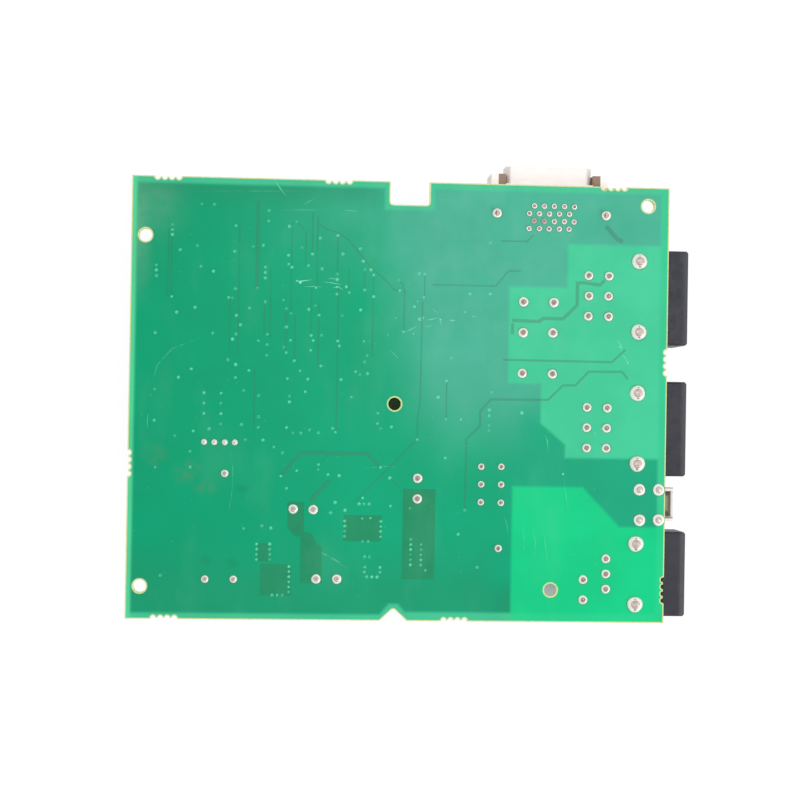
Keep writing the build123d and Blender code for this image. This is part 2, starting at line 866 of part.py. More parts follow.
# bodies: length, width, height
processor_body = (14.0, 14.0, 2.7)
gate_array_body = (11.5, 11.5, 4.4)
memory_body = (17.9, 7.5, 2.5)
logic_body = (8.65, 3.9, 1.75)
optocoupler_body = (3.6, 4.4, 2.0)
controller_body = (4.9, 3.9, 1.75)
small_lift = 0.15              # of gull-winged bodies off the board
socket_lift = 0.6              # of the body on J leads
gull_pitch = 1.27
gull_width = 0.42
fine_pitch = 1.0
fine_width = 0.4
j_width = 0.6

# leads: (out from the body, height) of their bent sheet
standard_gull = [(0, 1.35), (0, 1.1), (1.2, 0), (1.2, 0.25)]
fine_gull = [(0, 1.5), (0, 1.3), (1.6, 0), (1.6, 0.2)]
j_lead = [(0, 2.6), (0.4, 2.6), (0.4, 0), (0, 0)]


def moulded_bodies(label, sites, body, lift=small_lift):
    """Moulded packages standing a little off the board."""
    length, width, height = body
    with BuildPart() as bodies:
        with BuildSketch(deck.offset(-lift)):
            for x, y, turn in sites:
                with Locations(Location((x, y, 0), (0, 0, turn))):
                    Rectangle(length, width)
        extrude(amount=-(height - lift))
    save(bodies.part, label)


def leads_of(label, rows, width, section):
    """Rows of leads (x, y, turn, half width, pitch, count): bent sheets cut into leads."""
    reach = max(corner[0] for corner in section)
    rise = max(corner[1] for corner in section)
    with BuildPart() as leads:
        for x, y, turn, half_width, pitch, count in rows:
            across = to_upper.rotate(Axis.Z, turn)
            row_length = (count - 1) * pitch + width
            for side in (-1, 1):
                corners = [(side * (half_width + out), up) for out, up in section]
                extrude(profile(side_view(x, y, across), *corners), amount=row_length / 2, both=True)
        with BuildSketch(deck):
            for x, y, turn, half_width, pitch, count in rows:
                with Locations(Location((x, y, 0), (0, 0, turn))):
                    with GridLocations(pitch, 0, count, 1):
                        Rectangle(width, 2 * (half_width + reach) + 1)
        extrude(amount=-(rise + 1), mode=Mode.INTERSECT)
    save(leads.part, label)


moulded_bodies("processor", [processor_site], processor_body)
leads_of(
    "processor_leads",
    [(*processor_site[:2], turn, processor_body[0] / 2, fine_pitch, 13) for turn in (0, 90)],
    fine_width,
    fine_gull,
)
moulded_bodies("gate_array", [gate_array_site], gate_array_body, socket_lift)
leads_of(
    "gate_array_leads",
    [(*gate_array_site[:2], turn, gate_array_body[0] / 2, gull_pitch, 7) for turn in (0, 90)],
    j_width,
    j_lead,
)
moulded_bodies("memory", [memory_site], memory_body)
memory_rows = [(*memory_site, memory_body[1] / 2, gull_pitch, 14)]
leads_of("memory_leads", memory_rows, gull_width, standard_gull)
moulded_bodies("logic_circuits", logic_sites, logic_body)
logic_rows = [(*site, logic_body[1] / 2, gull_pitch, 7) for site in logic_sites]
leads_of("logic_leads", logic_rows, gull_width, standard_gull)
moulded_bodies("optocouplers", optocoupler_sites, optocoupler_body)
optocoupler_rows = [(*site, optocoupler_body[1] / 2, grid, 2) for site in optocoupler_sites]
leads_of("optocoupler_leads", optocoupler_rows, gull_width, standard_gull)
moulded_bodies("supply_controller", [controller_site], controller_body)
controller_rows = [(*controller_site, controller_body[1] / 2, gull_pitch, 4)]
leads_of("controller_leads", controller_rows, gull_width, standard_gull)


# ---------------------------------------------------------------- power supply parts

lead_sheet = 0.5
lead_width = 0.8
tab_share = 0.23               # tab's thickness, as a share of the case's height
tab_width_share = 0.9
parting_share = 0.6            # height of the parting line, where the leads come out
tab_cover = 2.0                # the tab stops this far short of the case's lead end
lead_run = (1.0, 2.6)          # out of the case: start and end of the lead's slope
bend_lag = 0.3                 # the bend's inside starts this much nearer the case
case_lift = 0.1
back_draft = 0.6
front_draft = 0.4


def power_package(name, x, y, outward, body, tab, leads):
    """Moulded case over a metal tab, and flat leads bent down to the board.

    `body` is (length, width, height), `tab` its bared length, `leads` (sites across, length).
    """
    length, width, height = body
    lead_sites, lead_length = leads
    back = -length / 2
    front = length / 2
    parting = height * parting_share
    section = side_view(x, y, outward)
    with BuildPart() as metal:
        tab_section = profile(
            section,
            (back - tab, 0),
            (back - tab, height * tab_share),
            (front - tab_cover, height * tab_share),
            (front - tab_cover, 0),
        )
        extrude(tab_section, amount=width * tab_width_share / 2, both=True)
        for across in lead_sites:
            shift = outward.cross(away) * across
            lead_section = profile(
                side_view(x + shift.X, y + shift.Y, outward),
                (front, parting),
                (front + lead_run[0], parting),
                (front + lead_run[1], lead_sheet),
                (front + lead_length, lead_sheet),
                (front + lead_length, 0),
                (front + lead_run[1] - lead_sheet, 0),
                (front + lead_run[0] - bend_lag, parting - lead_sheet),
                (front, parting - lead_sheet),
            )
            extrude(lead_section, amount=lead_width / 2, both=True)
    save(metal.part, name + "_metal")
    with BuildPart() as case:
        case_section = profile(
            section,
            (back, case_lift),
            (back, parting),
            (back + back_draft, height),
            (front - front_draft, height),
            (front, parting),
            (front, case_lift),
        )
        extrude(case_section, amount=width / 2, both=True)
        add(metal.part, mode=Mode.SUBTRACT)
    save(case.part, name + "_case")


regulator_body = (9.2, 10.0, 4.4)
switch_body = (6.1, 6.5, 2.3)
power_package("regulator", -9.0, -32.3, to_right, regulator_body, 1.3, ([-2.54, 2.54], 5.0))
power_package("switch", -30.3, -45.3, -to_upper, switch_body, 1.0, ([-2.28, 2.28], 3.2))

crystal_site = (-10.0, 7.0)
crystal_can = (11.4, 4.7, 3.6)     # length, width, height
crystal_lift = 0.3
inductor_site = (8.0, -35.0)
inductor_side = 12.3
inductor_corner = 2.2
inductor_height = 6.0

with BuildPart() as crystal:
    with BuildSketch(deck.offset(-crystal_lift)):
        with Locations(crystal_site):
            SlotOverall(*crystal_can[:2])
    extrude(amount=-crystal_can[2])
save(crystal.part, "crystal")

with BuildPart() as inductor:
    with BuildSketch(deck) as inductor_sketch:
        with Locations(inductor_site):
            Rectangle(inductor_side, inductor_side)
        chamfer(inductor_sketch.vertices(), inductor_corner)
    extrude(amount=-inductor_height)
save(inductor.part, "inductor")

diode_sites = [(-34.2, -36.2, 90), (-26.2, -37.2, 0)]
diode_body = (6.8, 5.9, 2.4)
diode_terminal = (0.5, 3.0, 1.3)
moulded_bodies("power_diodes", diode_sites, diode_body)
with BuildPart() as diode_terminals:
    with BuildSketch(deck):
        for x, y, turn in diode_sites:
            with Locations(Location((x, y, 0), (0, 0, turn))):
                end = (diode_body[0] + diode_terminal[0]) / 2
                with Locations((-end, 0), (end, 0)):
                    Rectangle(*diode_terminal[:2])
    extrude(amount=-diode_terminal[2])
save(diode_terminals.part, "diode_terminals")


# ---------------------------------------------------------------- chip parts

capacitor_sites = [
    (-43.5, 15.0, 90),
    (-43.5, 29.0, 90),
    (-20.5, 14.0, 90),
    (-20.5, 29.0, 90),
    (3.6, 15.0, 90),
    (3.6, 25.0, 90),
    (-17.5, 7.0, 90),
    (-3.0, 7.0, 90),
    (-5.0, 31.2, 0),
    (-55.0, 26.5, 0),
    (14.0, 42.5, 0),
    (14.0, 30.5, 0),
    (-12.2, -42.0, 90),
    (-0.6, -42.0, 90),
    (-44.9, -5.5, 0),
]
# columns of resistors: x, y of the middle one, count
resistor_pitch = 2.2
resistor_rows = [(33.4, -5.75, 4), (-32.0, 5.0, 5), (-55.0, 0.0, 4), (15.0, 3.0, 5)]


def chips(label, sites, body):
    """Small ceramic parts lying on the board."""
    length, width, height = body
    with BuildPart() as group:
        with BuildSketch(deck):
            for x, y, turn in sites:
                with Locations(Location((x, y, 0), (0, 0, turn))):
                    Rectangle(length, width)
        extrude(amount=-height)
    save(group.part, label)


resistor_sites = [
    (x, y + resistor_pitch * (index - (count - 1) / 2), 0)
    for x, y, count in resistor_rows
    for index in range(count)
]
capacitor_body = (2.0, 1.25, 0.9)
resistor_body = (1.6, 0.8, 0.5)
chips("chip_capacitors", capacitor_sites, capacitor_body)
chips("chip_resistors", resistor_sites, resistor_body)
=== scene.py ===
"""Looks of a CNC axis drive's control board, lying on its component side with its solder side up."""
from math import cos, hypot, pi, radians, sin
from random import Random

import bpy
from mathutils import Matrix, Vector


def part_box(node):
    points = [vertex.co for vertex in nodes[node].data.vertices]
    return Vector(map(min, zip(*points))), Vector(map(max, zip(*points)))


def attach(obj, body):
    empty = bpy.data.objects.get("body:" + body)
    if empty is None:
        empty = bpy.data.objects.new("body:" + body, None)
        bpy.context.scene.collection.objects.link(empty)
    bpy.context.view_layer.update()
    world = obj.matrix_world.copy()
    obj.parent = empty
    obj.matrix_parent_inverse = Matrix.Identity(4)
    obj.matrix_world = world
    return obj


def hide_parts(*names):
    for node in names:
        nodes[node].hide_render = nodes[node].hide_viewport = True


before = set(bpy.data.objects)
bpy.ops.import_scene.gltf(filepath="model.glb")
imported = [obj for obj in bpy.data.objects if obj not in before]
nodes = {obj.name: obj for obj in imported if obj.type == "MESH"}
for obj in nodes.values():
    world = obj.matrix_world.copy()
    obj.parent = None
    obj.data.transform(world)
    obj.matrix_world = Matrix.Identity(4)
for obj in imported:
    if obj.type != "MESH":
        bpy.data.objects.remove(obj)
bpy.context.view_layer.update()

MM = 0.001

low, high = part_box("circuit_board")
CENTRE_X = (low.x + high.x) / 2
CENTRE_Y = (low.y + high.y) / 2
SOLDER = high.z
THICKNESS = (high.z - low.z) / MM
RIGHT = 135.0 / 2
UPPER = 110.0 / 2
FOOT = -0.01    # where a shape starts, just inside the face that it stands on


# ---- meshes
# Points are board millimetres: x and y from the board's centre, z over the solder face.

class Shape:
    """Vertices and faces of one piece while it is being put together. A mark is a material's number."""

    def __init__(self):
        self.points = []
        self.faces = []
        self.marks = []

    def add(self, points, faces, mark=0):
        first = len(self.points)
        self.points += points
        self.faces += [tuple(first + i for i in face) for face in faces]
        self.marks += [mark] * len(faces)

    def rings(self, rings, mark=0):
        """Closed skin through rings of equally many points, from the lowest up."""
        count = len(rings[0])
        last = (len(rings) - 1) * count
        faces = []
        for a in range(0, last, count):
            for i in range(count):
                j = (i + 1) % count
                faces.append((a + i, a + j, a + count + j, a + count + i))
        faces.append(tuple(reversed(range(count))))
        faces.append(tuple(range(last, last + count)))
        self.add([p for ring in rings for p in ring], faces, mark)

    def turned(self, x, y, profile, sides=24, mark=0, wobble=None):
        """Surface of revolution about the upright line through (x, y): profile is (radius, z)."""
        rings = []
        for radius, z in profile:
            ring = []
            for i in range(sides):
                angle = 2 * pi * i / sides
                r, dz = wobble(radius, angle) if wobble else (radius, 0.0)
                ring.append((x + r * cos(angle), y + r * sin(angle), z + dz))
            rings.append(ring)
        self.rings(rings, mark)

    def block(self, x0, x1, y0, y1, z0, z1, bevel):
        """Box with its upper rim chamfered."""
        self.rings([[(x0 + i, y0 + i, z), (x1 - i, y0 + i, z), (x1 - i, y1 - i, z), (x0 + i, y1 - i, z)]
                    for i, z in ((0, z0), (0, z1 - bevel), (bevel, z1))])

    def slab(self, outline, z0, z1, bevel):
        """Upright prism on a convex or gently concave outline, its upper rim drawn in."""
        levels = (outline, z0), (outline, z1 - bevel), (inset_outline(outline, bevel), z1)
        self.rings([[(x, y, z) for x, y in loop] for loop, z in levels])

    def ribbon(self, path, width, rise, floor=FOOT, mark=0, taper=False):
        """Low raised strip along a path, its upper rims chamfered. A tapered one narrows to both ends."""
        stations = []
        last = len(path) - 1
        edge = min(rise, width / 4)
        for k, (x, y) in enumerate(path):
            into = unit(x - path[k - 1][0], y - path[k - 1][1]) if k else None
            out = unit(path[k + 1][0] - x, path[k + 1][1] - y) if k < last else into
            across, stretch = mitre(into or out, out, 0.5)
            half = width / 2 * stretch
            if taper:
                half *= max(0.12, 1 - (2 * k / last - 1) ** 2)
            top = half - edge if half > edge else half
            stations.append([(x - across[0] * h, y - across[1] * h, z)
                             for h, z in ((-half, floor), (half, floor), (top, rise), (-top, rise))])
        self.rings(stations, mark)

    def piece(self, name, materials, slot, replaces=(), smooth=False):
        """Makes the object, riding on the frame."""
        mesh = bpy.data.meshes.new(name)
        spots = [(CENTRE_X + x * MM, CENTRE_Y + y * MM, SOLDER + z * MM) for x, y, z in self.points]
        mesh.from_pydata(spots, [], self.faces)
        for material in materials:
            mesh.materials.append(material)
        mesh.polygons.foreach_set("material_index", self.marks)
        mesh.polygons.foreach_set("use_smooth", [smooth] * len(self.faces))
        mesh.update()
        finished(mesh, name, replaces)


def in_scene(name, data):
    thing = bpy.data.objects.new(name, data)
    bpy.context.scene.collection.objects.link(thing)
    return thing


def finished(mesh, name, replaces):
    piece = in_scene(name, mesh)
    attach(piece, "root")
    if replaces:
        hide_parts(*replaces)


def unit(x, y):
    size = hypot(x, y) or 1.0
    return x / size, y / size


def mitre(into, out, least):
    """Crosswise direction at a corner, and how much longer the joint is there."""
    across = unit(-(into[1] + out[1]), into[0] + out[0])
    return across, 1 / max(least, across[0] * -out[1] + across[1] * out[0])


def inset_outline(outline, inset):
    """Anticlockwise outline drawn in by an inset."""
    drawn = []
    for k, (x, y) in enumerate(outline):
        before, after = outline[k - 1], outline[(k + 1) % len(outline)]
        into = unit(x - before[0], y - before[1])
        across, stretch = mitre(into, unit(after[0] - x, after[1] - y), 0.4)
        drawn.append((x + across[0] * inset * stretch, y + across[1] * inset * stretch))
    return drawn


def arc(x, y, radius, start, end, steps):
    angles = [start + (end - start) * i / steps for i in range(steps + 1)]
    return [(x + radius * cos(angle), y + radius * sin(angle)) for angle in angles]


def circle(x, y, radius, sides):
    return arc(x, y, radius, 0, 2 * pi, sides)[:-1]


class Lump:
    """Box of a node, or of one lump of it, in board millimetres."""

    def __init__(self, lowest, highest):
        self.x0, self.y0, self.z0 = lowest
        self.x1, self.y1, self.z1 = highest
        self.x = (self.x0 + self.x1) / 2
        self.y = (self.y0 + self.y1) / 2
        self.wide = self.x1 - self.x0
        self.deep = self.y1 - self.y0

    def lengthwise(self, along, across):
        """The x and y of a measure along the lump's longer side and one across it."""
        return (along, across) if self.wide > self.deep else (across, along)

    def grown(self, dx, dy):
        return self.x0 - dx, self.x1 + dx, self.y0 - dy, self.y1 + dy


def on_board(spot):
    """Board millimetres of a point in metres."""
    return (spot[0] - CENTRE_X) / MM, (spot[1] - CENTRE_Y) / MM, (spot[2] - SOLDER) / MM


def box_of(*names):
    """Box that nodes cover together."""
    boxes = [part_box(name) for name in names]
    return Lump(on_board([min(b[0][k] for b in boxes) for k in range(3)]),
                on_board([max(b[1][k] for b in boxes) for k in range(3)]))


def islands(node):
    """Boxes of a node's separate lumps, sorted by their lowest corners."""
    mesh = nodes[node].data
    spots = [on_board(v.co) for v in mesh.vertices]
    keys = [tuple(round(v, 3) for v in spot) for spot in spots]
    lump = {key: {key} for key in keys}
    for face in mesh.polygons:
        corners = [keys[i] for i in face.vertices]
        if any(lump[key] is not lump[corners[0]] for key in corners):
            whole = set().union(*(lump[key] for key in corners))
            lump.update((key, whole) for key in whole)
    groups = {}
    for key, spot in zip(keys, spots):
        groups.setdefault(id(lump[key]), []).append(spot)
    boxes = sorted([[round(pick(p[k] for p in group), 2) for k in range(3)] for pick in (min, max)]
                   for group in groups.values())
    return [Lump(*box) for box in boxes]


# ---- materials

def lin(red, green, blue):
    """Screen colour, 0 to 255, as linear light."""
    def one(v):
        v /= 255
        return v / 12.92 if v <= 0.04045 else ((v + 0.055) / 1.055) ** 2.4
    return one(red), one(green), one(blue)


class Nodes:
    """Short ways to wire up a node tree."""

    def __init__(self, tree):
        self.tree = tree

    def new(self, kind, values=(), **settings):
        """New node with its first inputs filled in order."""
        node = self.tree.nodes.new(kind)
        for key, value in settings.items():
            setattr(node, key, value)
        for socket, value in zip(node.inputs, values):
            self.put(socket, value)
        return node

    def put(self, socket, value):
        """Links a socket or sets its constant."""
        if isinstance(value, bpy.types.NodeSocket):
            self.tree.links.new(value, socket)
        elif isinstance(value, tuple) and len(value) == 3 and len(socket.default_value) == 4:
            socket.default_value = (*value, 1.0)
        else:
            socket.default_value = value

    def vector(self, way, a, b=(0, 0, 0)):
        found = self.new("ShaderNodeVectorMath", (a, b), operation=way).outputs
        return found["Value" if way in ("DOT_PRODUCT", "LENGTH") else "Vector"]

    def calc(self, way, first, *others):
        """Arithmetic on two values, or on more from left to right."""
        for other in others or (0.0,):
            first = self.new("ShaderNodeMath", (first, other), operation=way).outputs[0]
        return first

    def times(self, *shares):
        return self.calc("MULTIPLY", *shares)

    def both(self, *distances):
        return self.calc("MINIMUM", *distances)

    def either(self, *distances):
        return self.calc("MAXIMUM", *distances)

    def soft(self, value, start, end, to_low=0.0, to_high=1.0):
        """Smooth step of a value from start to end."""
        return self.new("ShaderNodeMapRange", (value, start, end, to_low, to_high),
                        interpolation_type="SMOOTHSTEP").outputs[0]

    def mix(self, share, a, b, way="MIX"):
        node = self.new("ShaderNodeMix", data_type="RGBA", blend_type=way)
        for k, value in ((0, share), (6, a), (7, b)):
            self.put(node.inputs[k], value)
        return node.outputs[2]


class Skin(Nodes):
    """Node material under construction. Its `place` is the board millimetres of the shaded point."""

    def __init__(self, name, rough=0.5, metal=0.0, spec=0.5):
        self.material = bpy.data.materials.new(name)
        self.material.use_nodes = True
        super().__init__(self.material.node_tree)
        self.bsdf = self.tree.nodes["Principled BSDF"]
        self.put(self.bsdf.inputs["Roughness"], rough)
        self.put(self.bsdf.inputs["Metallic"], metal)
        self.put(self.bsdf.inputs["Specular IOR Level"], spec)
        spot = self.new("ShaderNodeTexCoord").outputs["Object"]
        moved = self.vector("SUBTRACT", spot, (CENTRE_X, CENTRE_Y, SOLDER))
        self.place = self.vector("MULTIPLY", moved, (1 / MM, 1 / MM, 1 / MM))
        self.x, self.y, self.z = self.new("ShaderNodeSeparateXYZ", (self.place,)).outputs
        self.height = None

    def texture(self, kind, spot, scale=1.0, **settings):
        node = self.new(kind, **settings)
        self.put(node.inputs["Vector"], spot)
        self.put(node.inputs["Scale"], scale)
        return node

    def noise(self, size, detail=2.0, stretch=(1, 1, 1), shift=0.0):
        """Noise from about 0.3 to 0.7, its features about `size` millimetres across."""
        spot = self.vector("MULTIPLY", self.place, tuple(s / size for s in stretch))
        if shift:
            spot = self.vector("ADD", spot, (shift, shift * 1.7, shift * 0.6))
        node = self.texture("ShaderNodeTexNoise", spot)
        self.put(node.inputs["Detail"], detail)
        return node.outputs[0]

    def cells(self, size):
        spot = self.vector("MULTIPLY", self.place, (1 / size, 1 / size, 1 / size))
        return self.texture("ShaderNodeTexVoronoi", spot).outputs["Distance"]

    def waves(self, size, axis, warp):
        node = self.texture("ShaderNodeTexWave", self.place, pi / 10 / size, bands_direction=axis)
        self.put(node.inputs["Distortion"], warp)
        return node.outputs[1]

    def colour(self, value):
        self.put(self.bsdf.inputs["Base Color"], value)

    def rough(self, least, most, size, detail, shift, stretch=(1, 1, 1)):
        """Roughness that wanders from least to most."""
        cloud = self.noise(size, detail, stretch, shift)
        self.put(self.bsdf.inputs["Roughness"], self.soft(cloud, 0.3, 0.7, least, most))

    def bump(self, value, depth):
        """Adds relief of a depth in millimetres."""
        raised = self.times(value, depth)
        self.height = self.calc("ADD", self.height, raised) if self.height else raised

    def done(self):
        if self.height:
            node = self.new("ShaderNodeBump")
            self.put(node.inputs["Strength"], 1.0)
            self.put(node.inputs["Distance"], MM)
            self.put(node.inputs["Height"], self.height)
            self.put(self.bsdf.inputs["Normal"], node.outputs[0])
        return self.material

    # signed distances in board millimetres, positive inside

    def half(self, nx, ny, reach):
        """Side of a straight line: nx x + ny y > reach."""
        return self.calc("SUBTRACT", self.vector("DOT_PRODUCT", self.place, (nx, ny, 0.0)), reach)

    def span(self, value, start, end):
        gone = self.calc("ABSOLUTE", self.calc("SUBTRACT", value, (start + end) / 2))
        return self.calc("SUBTRACT", (end - start) / 2, gone)

    def box(self, x0, x1, y0, y1):
        return self.both(self.span(self.x, x0, x1), self.span(self.y, y0, y1))

    def disc(self, x, y, radius, flat=1.0):
        gone = self.vector("SUBTRACT", self.place, (x, y, 0.0))
        gone = self.vector("MULTIPLY", gone, (1.0, flat, 0.0))
        return self.calc("SUBTRACT", radius, self.vector("LENGTH", gone))


# ---- the board's finish

NOTCH = (-3.3, 6.6, 49.2)    # its left side, right side and floor
VEE = (-0.95, 3.4, 2.9)      # its middle, half width and depth
BAND = 1.3                   # width of the border that has no inner plane

GREEN_LEFT = lin(6, 160, 114)
GREEN_MIDDLE = lin(10, 166, 120)
# colour of the painted glare of the lamps on the coat
GREEN_GLARE = lin(73, 179, 149)
GREEN_PLAIN = lin(26, 167, 125)
GREEN_STRIP = lin(24, 150, 110)
GREEN_BRIGHT = lin(67, 203, 153)
GREEN_LOWER = lin(16, 206, 135)
BAND_UPPER = lin(68, 196, 148)
BAND_LEFT = lin(84, 212, 152)
BAND_RIGHT = lin(54, 200, 146)
BAND_LOWER = lin(36, 208, 140)


def broad_greens(s):
    """Tones of the coat over the full planes, with a painted glare at the middle and along the upper edge."""
    base = s.mix(s.soft(s.x, -62, -8), GREEN_LEFT, GREEN_MIDDLE)
    # painted glare over the middle and right, and a weaker one along the upper left edge
    painted_glare = s.times(s.soft(s.y, -22, 8), s.soft(s.calc("ADD", s.x, s.times(s.y, 0.2)), -6, 14))
    upper = s.times(s.soft(s.y, 22, 52), s.soft(s.x, -50, 0), 0.55)
    base = s.mix(s.either(painted_glare, upper), base, GREEN_GLARE)
    base = s.mix(s.times(s.soft(s.x, 26, 34), s.soft(s.y, 4, -8)), base, GREEN_PLAIN)
    return s.mix(s.times(s.soft(s.y, -42, -50), s.soft(s.x, 20, 27)), base, GREEN_STRIP)


def soiled(s, base):
    """Dust on the upper left corner, ghosts of parts below, a trail of dried flux and darker outer areas."""
    corner = s.times(s.soft(s.x, -50, -66), s.soft(s.y, 36, 52))
    edge = s.times(s.soft(s.x, -61, -66), s.soft(s.y, 20, 40), 0.7)
    dusty = s.times(s.either(corner, edge), s.soft(s.noise(4, 4, shift=3.0), 0.25, 0.7, 0.25, 0.6))
    base = s.mix(dusty, base, lin(130, 180, 150))
    ghost = s.either(s.disc(-47.9, -40.4, 1.2), s.disc(-41.3, -41.0, 1.2), s.disc(-39.0, -22.5, 1.2, 1.6),
                     s.disc(54.0, 36.2, 1.3, 1.8), s.disc(51.4, 10.6, 1.2, 2.0))
    base = s.mix(s.soft(ghost, -1.0, 0.9, 0.0, 0.35), base, lin(20, 130, 92))
    trail = s.either(s.disc(-52.5, -18.5, 3.0, 1.4), s.disc(-60.5, -14.5, 2.2, 1.3),
                     s.disc(-48.5, -22.0, 2.0, 1.5))
    trail = s.times(s.soft(trail, -2.5, 2.5), s.soft(s.noise(2.2, 4, shift=7.0), 0.35, 0.7, 0.05, 0.5))
    base = s.mix(trail, base, lin(96, 140, 96))
    outer = s.either(s.soft(s.y, -32, -50), s.times(s.soft(s.y, 46, 53), s.soft(s.x, 0, -12)))
    return s.mix(s.times(outer, s.soft(s.x, 26, 20), 0.55), base, lin(36, 148, 108))


def cleared(s, base):
    """Places without an inner plane let the light through."""
    first = s.either(
        s.box(41.7, 80, -13.7, 40.3),
        s.box(27.0, 60, 4.9, 29.3),
        s.both(s.box(35.4, 60, -13.7, 20), s.half(0.647, 0.763, 19.1)),
    )
    second = s.both(
        s.box(28.5, 80, -70, -20.9),
        s.either(s.half(-0.722, -0.692, -19.04), s.half(0, -1, 30.8)),
    )
    base = s.mix(s.soft(first, -0.5, 0.6), base, GREEN_BRIGHT)
    return s.mix(s.soft(second, -0.5, 0.6), base, GREEN_LOWER)


def bordered(s, base):
    """Border band without planes, also round the notches."""
    floor = s.calc("SUBTRACT", s.y, s.soft(s.x, -3, 2, -53.5, -52.8))
    inner = s.both(s.box(-66.2, 65.5, -60, 53.3), floor)
    notch = s.box(NOTCH[0] - BAND, NOTCH[1] + BAND, NOTCH[2] - BAND, 70)
    vee = s.both(s.half(-0.75, -0.66, 33.4), s.half(0.75, -0.66, 32.0), s.half(0, -1, 50.8))
    border = s.either(s.times(inner, -1.0), notch, vee)
    band = s.mix(s.soft(s.x, -66.6, -65.6), BAND_LEFT, BAND_UPPER)
    band = s.mix(s.soft(s.x, 64.2, 66.4), band, BAND_RIGHT)
    band = s.mix(s.times(s.soft(s.y, -27, -32), s.soft(s.x, 27, 30)), band, BAND_LOWER)
    return s.mix(s.soft(border, -0.6, 0.5), base, band)


def plane_colours(s):
    """Colour of the coated laminate over its inner planes, on the solder side."""
    return bordered(s, cleared(s, soiled(s, broad_greens(s))))


def coat_finish(s, colour, shade=1.0):
    """Solder resist: cloudy colour, faint weave of the glass cloth, dust and fine scuffs."""
    cloud = s.noise(16, 3, shift=2.0)
    colour = s.mix(s.soft(cloud, 0.35, 0.65, 0.0, 0.10), colour, lin(20, 120, 86))
    cloud = s.noise(9, 4, (1, 0.35, 1), 9.0)
    colour = s.mix(s.soft(cloud, 0.5, 0.75, 0.0, 0.05), colour, lin(140, 210, 180))
    weave = s.times(s.waves(0.5, "X", 0.4), s.waves(0.5, "Y", 0.4))
    colour = s.mix(s.times(weave, 0.018), colour, lin(150, 220, 180))
    dust = s.times(s.soft(s.cells(1.9), 0.10, 0.04), s.soft(s.noise(7, shift=4.0), 0.5, 0.62))
    colour = s.mix(s.times(dust, 0.2), colour, lin(170, 225, 200))
    if shade != 1.0:
        colour = s.mix(1.0, colour, (shade, shade, shade), "MULTIPLY")
    s.colour(colour)
    s.rough(0.3, 0.44, 5, 3, 1.0)
    s.bump(weave, 0.002)
    s.bump(s.noise(1.3), 0.01)
    return s.done()


def resist(name, tint=(), share=None, spec=0.09, shade=1.0):
    """The coat on the solder side. Over other things `share` of its colour gives way to a tint."""
    s = Skin(name, spec=spec)
    colour = plane_colours(s)
    return coat_finish(s, s.mix(share(s), colour, tint) if tint else colour, shade)


def resist_on_pour():
    s = Skin("resist_over_copper", spec=0.09)
    return coat_finish(s, s.mix(s.noise(3, 3), lin(30, 137, 94), lin(42, 149, 105)))


def component_resist(name, shade=1.0):
    s = Skin(name, spec=0.3)
    colour = s.mix(s.noise(30, 3), lin(22, 128, 88), lin(30, 150, 104))
    inner = s.box(-66.2, 65.5, -52.7, 53.3)
    colour = s.mix(s.soft(inner, 0.4, -0.4), colour, lin(60, 176, 126))
    return coat_finish(s, colour, shade)


def laminate_edge():
    s = Skin("bare_laminate", rough=0.6, spec=0.3)
    colour = s.mix(s.waves(0.2, "Z", 0.6), lin(214, 222, 158), lin(236, 238, 190))
    s.colour(s.mix(s.soft(s.noise(0.7, 3), 0.45, 0.7, 0.0, 0.5), colour, lin(176, 196, 120)))
    s.bump(s.noise(0.25), 0.03)
    return s.done()


def solder_metal(name, tone, rough, metal=0.3):
    s = Skin(name, metal=metal)
    s.colour(s.mix(s.soft(s.noise(0.35, 3), 0.35, 0.65), tone, tuple(c * 0.86 for c in tone)))
    s.rough(rough - 0.1, rough + 0.15, 0.5, 2, 3.0)
    s.bump(s.noise(0.3, shift=5.0), 0.03)
    return s.done()


# brown pin ends: partly flux and pin ends, partly a painted reflection of the dark camera overhead
def flux_and_reflection_tip():
    s = Skin("pin_tip", rough=0.4, metal=0.55)
    s.colour(s.mix(s.soft(s.noise(0.3), 0.4, 0.6), lin(134, 110, 95), lin(186, 164, 150)))
    s.bump(s.noise(0.2), 0.04)
    return s.done()


def moulding(name, tone, lighter, rough=0.5, grain=0.12, spec=0.4):
    """Glass-filled moulding: fine grain, cloudy tone, a little wear."""
    s = Skin(name, spec=spec)
    fine = s.noise(grain)
    colour = s.mix(s.soft(s.noise(4.5, 4), 0.35, 0.7, 0.0, 0.5), tone, lighter)
    s.colour(s.mix(s.soft(fine, 0.55, 0.75, 0.0, 0.35), colour, lighter))
    s.rough(rough - 0.08, rough + 0.1, 1.5, 3, 6.0)
    s.bump(fine, 0.02)
    return s.done()


def header_moulding():
    """Black moulding, a little lighter towards the mating face by a painted highlight, and darkened by
    painted shade in the gap under the board's edge.
    """
    s = Skin("header_plastic", spec=0.4)
    fine = s.noise(0.12)
    colour = s.mix(s.soft(s.noise(4.5, 4), 0.35, 0.7, 0.0, 0.5), lin(41, 42, 51), lin(54, 54, 63))
    # painted highlight towards the mating face
    colour = s.mix(s.soft(s.x, 71.2, 72.6, 0.0, 0.6), colour, lin(82, 81, 86))
    colour = s.mix(s.soft(fine, 0.55, 0.75, 0.0, 0.3), colour, lin(62, 62, 70))
    # painted deep shade in the gap under the board's edge
    gap = s.times(s.soft(s.x, 67.8, 67.5), s.soft(s.z, -2.3, -1.8))
    s.colour(s.mix(gap, colour, lin(8, 9, 8)))
    s.rough(0.42, 0.6, 1.5, 3, 6.0)
    s.bump(fine, 0.02)
    return s.done()


